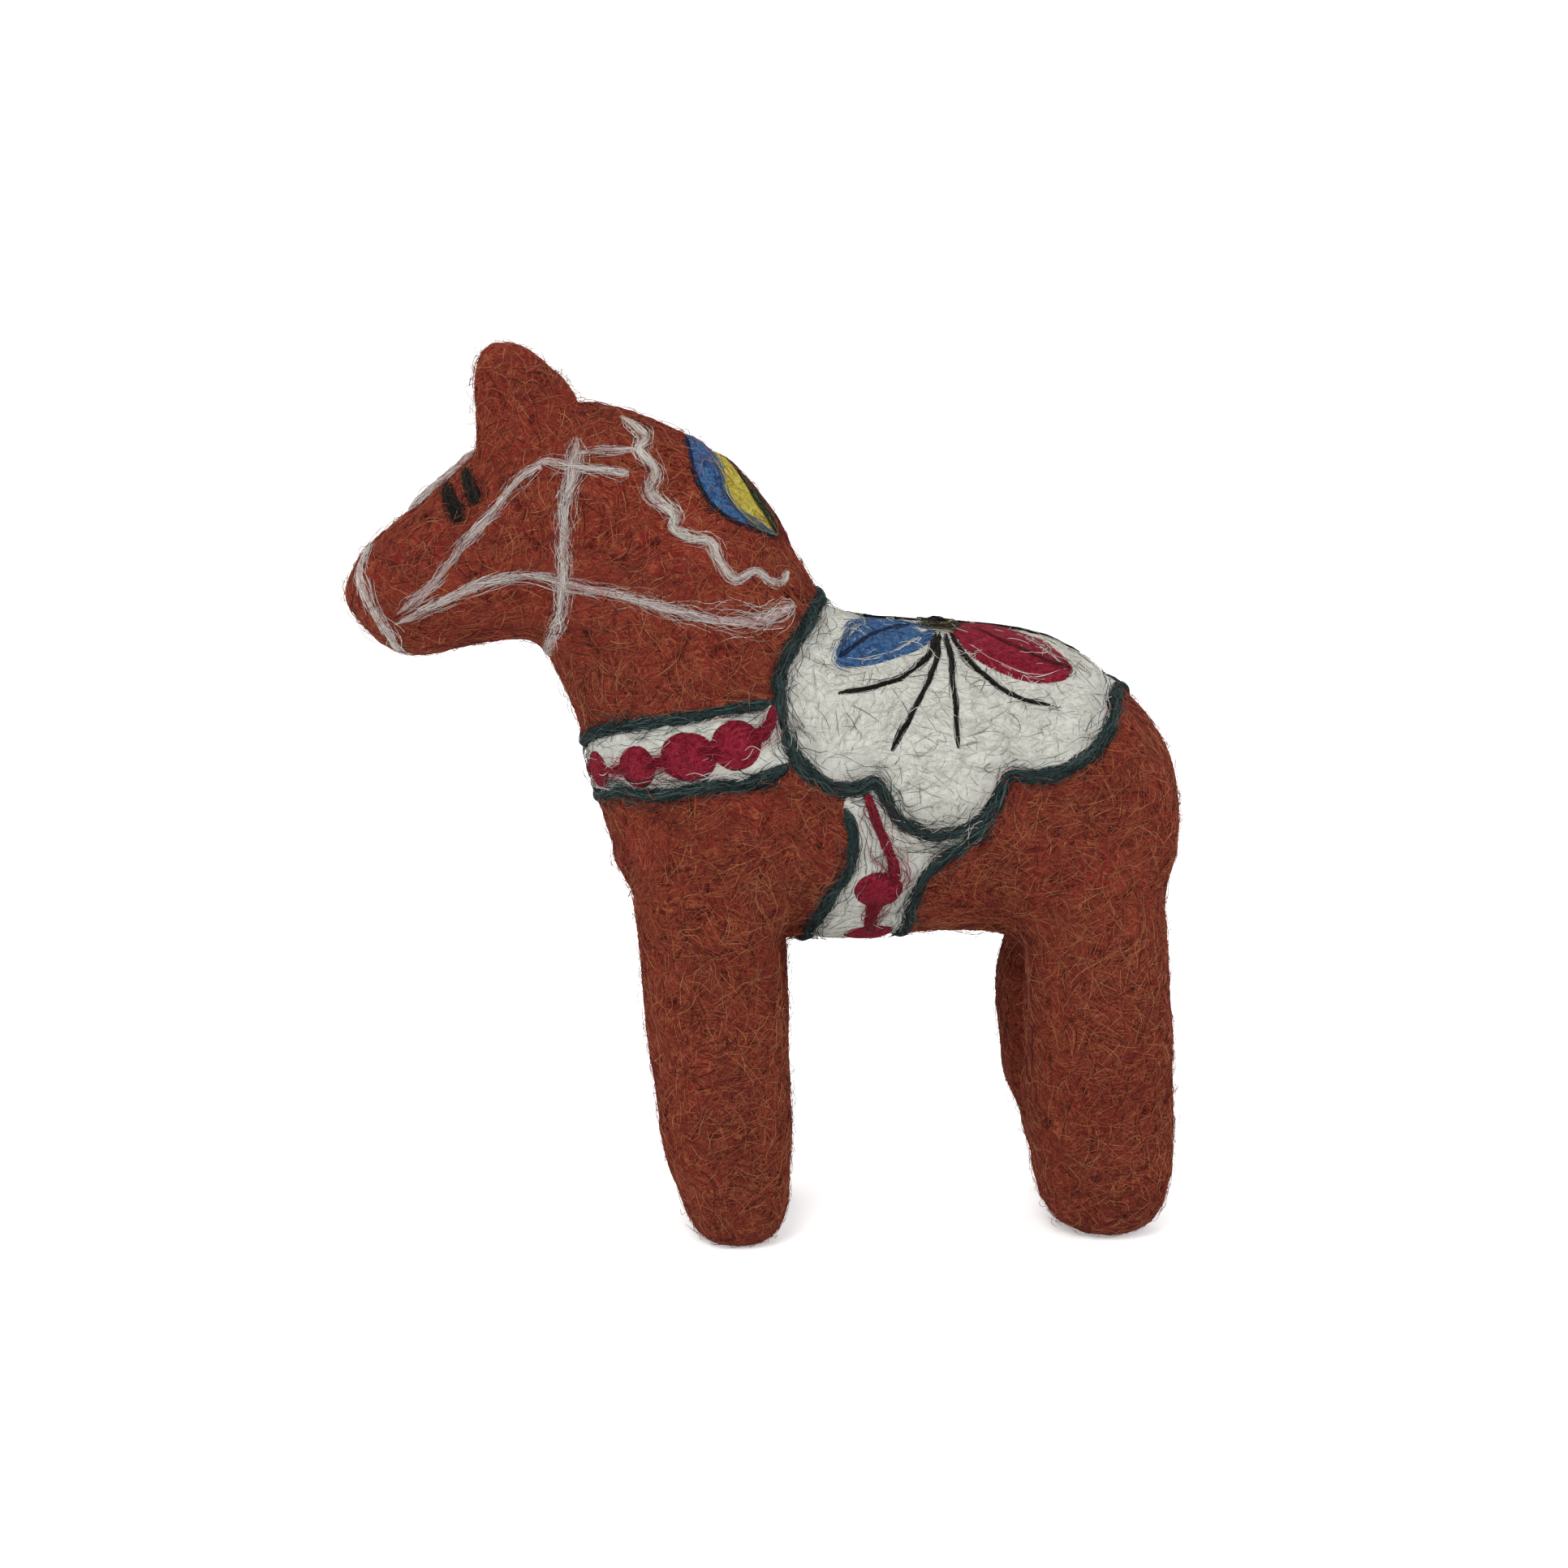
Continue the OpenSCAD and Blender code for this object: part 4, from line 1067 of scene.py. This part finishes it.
def strand(node_name, wool_name, routes, tree, half_width, height, density, core=0.85, tints=None, **options):
    """A felted strand, core times as wide as the fibres that will be laid along it."""
    lines = strand_lines(routes, tree, half_width, height, **options)
    narrow = [(c, n, core * w, h, closed) for c, n, w, h, closed in lines]
    name, slot = node_name + "_felt", wool_name + "_wool"
    add_object(name, build_mesh(name, *strand_mesh(narrow)), FELTS[wool_name], [node_name])
    fibre_jobs.append((node_name, lines, tints or STRAND_TINTS[wool_name], density, slot))


def border(name, wool_name, routes, tree, half_width, density, tints=None, **options):
    """Only fibres, to feather an edge or to draw a vein."""
    lines = strand_lines(routes, tree, half_width, WISP_HEIGHT, **options)
    fibre_jobs.append((name, lines, tints or STRAND_TINTS[wool_name], density, wool_name + "_wool"))


blanket_left = left_line(BLANKET[1:-1])
blanket_loop = np.vstack([
    [middle_point(*BLANKET[0])], blanket_left, [middle_point(*BLANKET[-1])], blanket_left[::-1] * MIRROR,
])
EDGINGS = [
    ("saddle_edging", "saddle", blanket_loop, 1.1, 0.66),
    ("breast_strap_upper_edging", "breast_upper", wrapped_line(BREAST_UPPER), 0.98, 0.58),
    ("breast_strap_lower_edging", "breast_lower", wrapped_line(BREAST_LOWER), 1.05, 0.58),
    ("girth_front_edging", "girth_front", wrapped_line(GIRTH_FRONT), 0.98, 0.54),
    ("girth_rear_edging", "girth_rear", wrapped_line(GIRTH_REAR), 1.05, 0.54),
]
SEED_STEP = 3  # each strand draws on this many seeds
EDGING_DENSITY, BRIDLE_DENSITY, BRIDLE_HEIGHT, THIN_CORE = 34, 26, 0.2, 0.6
for k, (edging, _, route, half_width, height) in enumerate(EDGINGS):
    strand(edging, "teal", [route], skin_tree, half_width, height, EDGING_DENSITY,
           closed=route is blanket_loop, seed=81 + SEED_STEP * k)

STEM_HALF_WIDTH, STEM_HEIGHT = 0.42, 0.28
for side, line in SIDES:
    strand(f"flower_stems_{side}", "black", [line(stem) for stem in STEMS], laid_tree, STEM_HALF_WIDTH,
           STEM_HEIGHT, 14, seed=96, widths=(1.3, 1.0, 0.85, 0.7))
strand("flower_spine_stems", "black", [middle_line(stem) for stem in SPINE_STEMS], laid_tree, STEM_HALF_WIDTH,
       STEM_HEIGHT, 14, seed=99)
FLOWER_CENTRE = [(19.4, 76), (21.2, 76), (23.0, 76)]
strand("flower_centre", "black", [middle_line(FLOWER_CENTRE)], laid_tree, 1.5, 0.5, 40, seed=102)

nose_left = left_line(NOSEBAND[:-1])
nose_loop = np.vstack([nose_left, [middle_point(*NOSEBAND[-1])], nose_left[::-1] * MIRROR])
strand("noseband", "pink_white", [nose_loop], skin_tree, 0.8, 0.18, BRIDLE_DENSITY, core=THIN_CORE,
       closed=True, seed=105)
BRIDLE = [
    ("cheek_strap", CHEEK, 0.66, None),
    ("headstall", HEADSTALL, 0.76, None),
    ("crown_line", CROWN, 0.42, None),
    ("rein", REIN, 0.72, (0.9, 0.9, 0.9, 0.9, 1, 1.1, 1.3, 1.5, 1.7, 1.5)),
]
for (side, line), seed in zip(SIDES, (108, 208)):
    for name, route, half_width, widths in BRIDLE:
        strand(f"{side}_{name}", "pink_white", [line(route)], skin_tree, half_width, BRIDLE_HEIGHT,
               BRIDLE_DENSITY, core=THIN_CORE, seed=seed, widths=widths)
        seed += SEED_STEP
    strand(f"{side}_mane_zigzag", "pink_white", [line(ZIGZAG)], skin_tree, 0.8, 0.24, 28, core=0.75,
           tints=("white", "pink_white", "cream"), seed=seed, widths=(1.15, 1.15, 1.1, 1.0, 0.85, 0.7, 0.65))
    strand(f"{side}_eye", "black", [line(EYE_FRONT), line(EYE_REAR)], skin_tree, 1.15, 0.3, 34,
           seed=seed + SEED_STEP, widths=(0.85, 1.0, 0.9), taper=0.7)
strand("throat_latch", "pink_white", [wrapped_line(THROAT)], skin_tree, 0.98, BRIDLE_HEIGHT, 38,
       core=THIN_CORE, seed=140)
strand("forehead_blaze", "pink_white", [middle_line(BLAZE)], skin_tree, 1.9, 0.55, 44, seed=143)
strand("crimson_crest_stripe", "crimson", [middle_line(CREST_STRIPE)], skin_tree, 1.5, 0.25, 44, seed=146)

# Wisps that stray from the edgings over the coat and the white wool
for _, wisp, route, _, _ in EDGINGS:
    closed = route is blanket_loop
    border(wisp + "_dark_wisps", "teal", [route], laid_tree, 1.5, 22, closed=closed)
    border(wisp + "_pale_wisps", "white", [route], laid_tree, 1.6, 9, ("pink_white", "grey"), closed=closed)
FLOWER_TOP = [(19.2, 74.8), (21.2, 74.2), (23.6, 74.8)]
for side, line in SIDES:
    border(f"{side}_flower_centre_wisps", "black", [line(FLOWER_TOP)], laid_tree, 0.9, 46,
           ("black", "charcoal", "olive"), lift=0.35)

# Feathered edges and dark veins of the petals, the chain, the drops and the crest leaf
PETAL_SHADES = {"blue": ("blue", "pale_blue", "dark_blue"), "crimson": ("crimson", "rose", "wine")}
LEAF_JOINS = [
    ("leaf_dark_edge", "blue", 0.4, 24, ("dark_blue", "black"), 0.0),
    ("leaf_first_join", "yellow", 0.4, 16, ("blue", "yellow"), 0.25),
    ("leaf_second_join", "green", 0.35, 20, ("black", "green", "olive"), 0.25),
    ("leaf_crest_join", "green", 0.5, 26, ("black", "crimson", "green"), 0.25),
]
for side, line in SIDES:
    for polygon, tint in PETALS[side]:
        name, shades, turn = f"{side}_{tint}_petal", PETAL_SHADES[tint], len(polygon) // 2
        opposite = zip(polygon[1:turn + 1], polygon[:turn - 1:-1])
        middle = [((a[0] + b[0]) / 2, (a[1] + b[1]) / 2) for a, b in opposite]
        border(name + "_edge", tint, [line(polygon + polygon[:1])], laid_tree, 0.7, 30, shades)
        border(name + "_glint", "white", [line(polygon[turn:])], laid_tree, 0.45, 6, ("white", "pink_white"),
               lift=0.1)
        border(name + "_vein", tint, [line(middle)], laid_tree, 0.35, 14, shades[2:], lift=0.3)
    for route, (name, wool_name, half_width, density, tints, lift) in zip(LEAF_BORDERS, LEAF_JOINS):
        border(f"{side}_{name}", wool_name, [line(route)], skin_tree, half_width, density, tints, lift=lift)
    drop_route = line([(x, z) for x, z, _ in DROP])
    border(f"{side}_drop_wisps", "crimson", [drop_route], laid_tree, 1.3, 26, lift=0.3)
border("chain_wisps", "crimson", [chain_points], laid_tree, 1.5, 30, lift=0.3)


# ---------------------------------------------------------------- loose and lying fibres
TUBE_SIDES, TUBE_TIP, OFF_GROUND = 3, 0.12, 0.005


def tubes(name, lines, radii, tint_index, tints):
    """Fine closed tubes, three-sided and pointed, one for each line of points."""
    count, steps = lines.shape[:2]
    tangent = unit_rows(np.gradient(lines, axis=1))
    helper = np.where(np.abs(tangent[..., 2:3]) < 0.9, UP, np.array([1.0, 0.0, 0.0]))
    a = unit_rows(np.cross(tangent, helper))
    b = np.cross(tangent, a)
    swell = np.sin(np.linspace(TUBE_TIP, 1, steps // 2 + 1) * np.pi / 2)
    rising = swell if steps % 2 == 0 else swell[:-1]
    r = radii[:, None] * np.concatenate([rising, swell[::-1]])[:steps][None, :]
    turns = [2 * math.pi * k / TUBE_SIDES for k in range(TUBE_SIDES)]
    ring = [lines + r[..., None] * (math.cos(t) * a + math.sin(t) * b) for t in turns]
    points = np.stack(ring, 2).reshape(-1, 3)
    points[:, 2] = np.maximum(points[:, 2], OFF_GROUND)
    start = np.arange(count) * steps * TUBE_SIDES
    here = start[:, None, None] + (np.arange(steps - 1) * TUBE_SIDES)[None, :, None]
    k = np.arange(TUBE_SIDES)[None, None, :]
    m = (k + 1) % TUBE_SIDES
    beyond = here + TUBE_SIDES
    quad = np.stack([here + k, here + m, beyond + m, beyond + k], 3).reshape(-1, 4)
    end = start + (steps - 1) * TUBE_SIDES
    tris = np.vstack([np.stack([start + 2, start + 1, start], 1), np.stack([end, end + 1, end + 2], 1)])
    mesh = build_mesh(name, points, quad, tris)
    add_object(name, mesh)
    for tint in tints:
        mesh.materials.append(TINTS[tint])
    per_quad = np.repeat(tint_index, (steps - 1) * TUBE_SIDES)
    per_tri = np.tile(tint_index, 2)
    mesh.polygons.foreach_set("material_index", np.concatenate([per_quad, per_tri]).astype(np.int32))
    mesh.update()


def on_white(points):
    """How deep inside the blanket, the breast strap or the girth each point lies."""
    flat = points[:, [0, 2]]
    return np.maximum.reduce([
        polygon_depth(flat, polygon) for polygon in (blanket_polygon, breast_polygon, girth_polygon)
    ])


CURL, DIP, EDGE_MARGIN = 0.2, 0.10, 0.3


def weighted_tints(rng, weights, count):
    """A tint's number for each fibre, with each tint as common as its weight."""
    return rng.choice(len(weights), count, p=np.array(weights) / sum(weights))


def lying_fibres(
    name, seeds, directions, tree, steps, step, radius, lift, rng, tints, weights, inside=None
):
    """Fibres that wander over a surface from their seeds, dipping in and out of it."""
    count = len(seeds)
    heading = unit_rows(directions)
    bend = rng.normal(0, CURL, count)
    place, normals = project(tree, seeds)
    rows, normals_list = [place], [normals]
    for _ in range(steps - 1):
        heading = unit_rows(heading - (heading * normals).sum(1)[:, None] * normals)
        side = np.cross(normals, heading)
        bend = bend * 0.75 + rng.normal(0, CURL, count) * 0.6
        heading = unit_rows(heading + side * bend[:, None])
        place, normals = project(tree, place + heading * step[:, None])
        rows.append(place)
        normals_list.append(normals)
    lines = np.stack(rows, 1)
    normals = np.stack(normals_list, 1)
    t = np.linspace(0, 1, steps)
    phase = rng.uniform(0, 2 * np.pi, (count, 1))
    waves = rng.uniform(1, 2.6, (count, 1))
    high = lift[:, None] * (0.35 + 0.65 * np.sin(phase + waves * t[None, :] * 2 * np.pi))
    ends = np.minimum(t, 1 - t)[None, :]
    high = high - DIP * (1 - smoothstep(0, 0.15, ends))
    lines = lines + normals * high[..., None]
    index = weighted_tints(rng, weights, count)
    if inside is not None:
        kept = inside(lines.reshape(-1, 3)).reshape(count, steps).min(1) > EDGE_MARGIN
        lines, radius, index = lines[kept], radius[kept], index[kept]
    tubes(name, lines, radius, index, tints)


def scatter(mask_faces, points, count, rng):
    """Random places spread evenly over the chosen faces."""
    faces = quads[mask_faces]
    a, b, c, d = (points[faces[:, k]] for k in range(4))
    area = np.linalg.norm(np.cross(c - a, d - b), axis=1)
    pick = rng.choice(len(faces), count, p=area / area.sum())
    u, v = rng.random((2, count, 1))
    a, b, c, d = a[pick], b[pick], c[pick], d[pick]
    return (a * (1 - u) + b * u) * (1 - v) + (d * (1 - u) + c * u) * v


face_centre = skin[quads].mean(1)
face_white = white_depth[quads].min(1)
bare = face_white < 0.2


def swirl(points, seed, upright):
    """Directions that turn slowly from place to place: mostly round a leg, freely on the body."""
    angle = 3.2 * noise_at(points, 13, seed) + 1.4 * noise_at(points, 5, seed + 1)
    spread = np.random.default_rng(seed).normal(0, 0.55, len(points))
    angle = np.where(upright, 0.25 + 0.35 * noise_at(points, 8, seed + 2) + spread, angle + spread)
    flat = np.stack([np.cos(angle), np.zeros(len(points)), np.sin(angle)], 1)
    turned = np.stack([np.zeros(len(points)), np.cos(angle), np.sin(angle)], 1)
    _, normals = project(skin_tree, points)
    return np.where(np.abs(normals[:, :1]) > 0.75, turned, flat)


seam_side = (face_centre[:, [0, 2]] - SEAM_A) @ np.array([seam_normal[0], seam_normal[2]])
below = face_centre[:, 2] < LEG_CUT
left, fore = face_centre[:, 1] < 0, face_centre[:, 0] < LEG_SPLIT
COAT_TINTS = ("rust", "orange", "gold", "dark_red", "red")
LEG_WEIGHTS = (3, 3, 2.2, 2.2, 2)
ZONES = [
    ("torso_{}_fibres", ~below & (seam_side < 0), 4200, "rust_wool", (4, 3, 2.4, 2, 1.8)),
    ("head_{}_fibres", ~below & (seam_side >= 0), 3800, "red_rust_wool", (4, 2.6, 1.4, 2, 2.6)),
    ("front_{}_leg_fibres", below & fore, 2500, "brown_wool", LEG_WEIGHTS),
    ("hind_{}_leg_fibres", below & ~fore, 3000, "brown_wool", LEG_WEIGHTS),
]
ROUND_A_LEG = LEG_CUT + 6  # below this height the fibres of the coat run mostly round the legs
for k, (name, zone, count, slot, weights) in enumerate(ZONES):
    for far, side in enumerate(("left", "right")):
        rng = np.random.default_rng(300 + 2 * k + far)
        seeds = scatter(zone & (~left if far else left) & bare, skin, count, rng)
        lying_fibres(
            name.format(side), seeds, swirl(seeds, 31, seeds[:, 2] < ROUND_A_LEG), skin_tree, 8,
            rng.uniform(0.6, 1.15, count), rng.uniform(0.03, 0.062, count), rng.uniform(0.03, 0.14, count),
            rng, COAT_TINTS, weights,
        )

rng = np.random.default_rng(400)
seeds = scatter(face_white > 0.6, laid, 4200, rng)
lying_fibres(
    "white_wool_fibres", seeds, swirl(seeds, 37, np.zeros(len(seeds), bool)), laid_tree, 9,
    rng.uniform(0.4, 0.9, len(seeds)), rng.uniform(0.028, 0.05, len(seeds)),
    rng.uniform(0.04, 0.12, len(seeds)), rng, ("white", "cream", "grey", "charcoal"), (6, 4, 1.2, 0.2),
    on_white,
)


FULL_TURN = 6.28
STRAND_FIBRE_STEPS, FEWEST_FIBRES, DENSITY_LENGTH, SHORTEST = 8, 6, 5, 0.8
FIBRE_LENGTHS, FIBRE_RADII = (3.0, 7.5), (0.03, 0.055)


def strand_fibres(name, lines, tints, density, seed):
    """Fibres that run along a felted strand, and stray a little past its edges."""
    rng = np.random.default_rng(seed)
    share = np.linspace(0, 1, STRAND_FIBRE_STEPS)[None, :]
    found, radii = [], []
    for centre, normals, width, tall, closed in lines:
        n = len(centre)
        length = n * STRAND_STEP
        count = max(FEWEST_FIBRES, int(length * density / DENSITY_LENGTH))
        span = rng.uniform(*FIBRE_LENGTHS, count) / STRAND_STEP
        start = rng.uniform(-4, n - 3, count)
        t = start[:, None] + share * span[:, None]
        if closed:
            t = t % n
            i = np.floor(t).astype(int) % n
            j = (i + 1) % n
        else:
            t = np.clip(t, 0, n - 1.001)
            i = np.floor(t).astype(int)
            j = i + 1
        f = (t - np.floor(t))[..., None]
        across = unit_rows(np.cross(np.gradient(centre, axis=0), normals))
        c = centre[i] * (1 - f) + centre[j] * f
        nn = unit_rows(normals[i] * (1 - f) + normals[j] * f)
        aa = unit_rows(across[i] * (1 - f) + across[j] * f)
        w = width[i]
        u0 = rng.normal(0, 0.62, (count, 1))
        drift = rng.normal(0, 0.5, (count, 1)) * np.linspace(-1, 1, STRAND_FIBRE_STEPS)[None, :]
        phase = rng.uniform(0, FULL_TURN, (count, 1))
        wave = 0.2 * np.sin(phase + share * rng.uniform(3, 9, (count, 1)))
        u = u0 + drift + wave
        h = np.where(np.abs(u) < 1, strand_top(tall[i], np.clip(u, -1, 1)), 0.0)
        h = np.maximum(h, 0.0) + rng.uniform(0.0, 0.10, (count, 1))
        p = c + aa * (u * w)[..., None] + nn * h[..., None]
        keep = np.linalg.norm(p[:, -1] - p[:, 0], axis=1) > SHORTEST
        found.append(p[keep])
        radii.append(rng.uniform(*FIBRE_RADII, keep.sum()))
    found, radii = np.vstack(found), np.concatenate(radii)
    weights = np.linspace(1.5, 0.7, len(tints))
    index = rng.choice(len(tints), len(found), p=weights / weights.sum())
    tubes(name, found, radii, index, tints)


for k, (name, lines, tints, density, slot) in enumerate(fibre_jobs):
    strand_fibres(name + "_fibres", lines, tints, density, 500 + k)


def stray_fibres(name, tree, seeds, reach, rng, tints, weights):
    """Fine curly hairs that leave the felt and come back to it."""
    count, steps = len(seeds), 10
    _, normals = project(tree, seeds)
    helper = unit_rows(rng.normal(0, 1, (count, 3)))
    side = unit_rows(np.cross(normals, helper))
    other = np.cross(normals, side)
    t = np.linspace(0, 1, steps)[None, :]
    length = rng.uniform(1.5, 5.0, (count, 1))
    high = reach[:, None] * np.sin(t * np.pi * rng.uniform(0.6, 1.0, (count, 1)))
    swing = rng.uniform(0.1, 0.7, (count, 1))
    curl = swing * np.sin(t * rng.uniform(2, 9, (count, 1)) + rng.uniform(0, 6, (count, 1)))
    lines = (seeds[:, None, :] + side[:, None, :] * (length * (t - 0.5))[..., None]
             + other[:, None, :] * curl[..., None] + normals[:, None, :] * (high - 0.05)[..., None])
    index = weighted_tints(rng, weights, count)
    tubes(name, lines, rng.uniform(0.022, 0.042, count), index, tints)


rng = np.random.default_rng(900)
for part, zone in (
    ("leg", below), ("left", ~below & (face_centre[:, 1] < 0)), ("right", ~below & (face_centre[:, 1] >= 0)),
):
    seeds = scatter(zone & bare, skin, 3200, rng)
    stray_fibres(part + "_stray_hairs", skin_tree, seeds, rng.gamma(2.0, 0.17, len(seeds)), rng, COAT_TINTS,
                 (4, 3, 2, 1, 2))
seeds = scatter(face_white > 2.2, laid, 900, rng)
stray_fibres("white_stray_hairs", laid_tree, seeds, rng.gamma(2.0, 0.14, len(seeds)), rng,
             ("white", "cream", "charcoal"), (4, 3, 1.2))
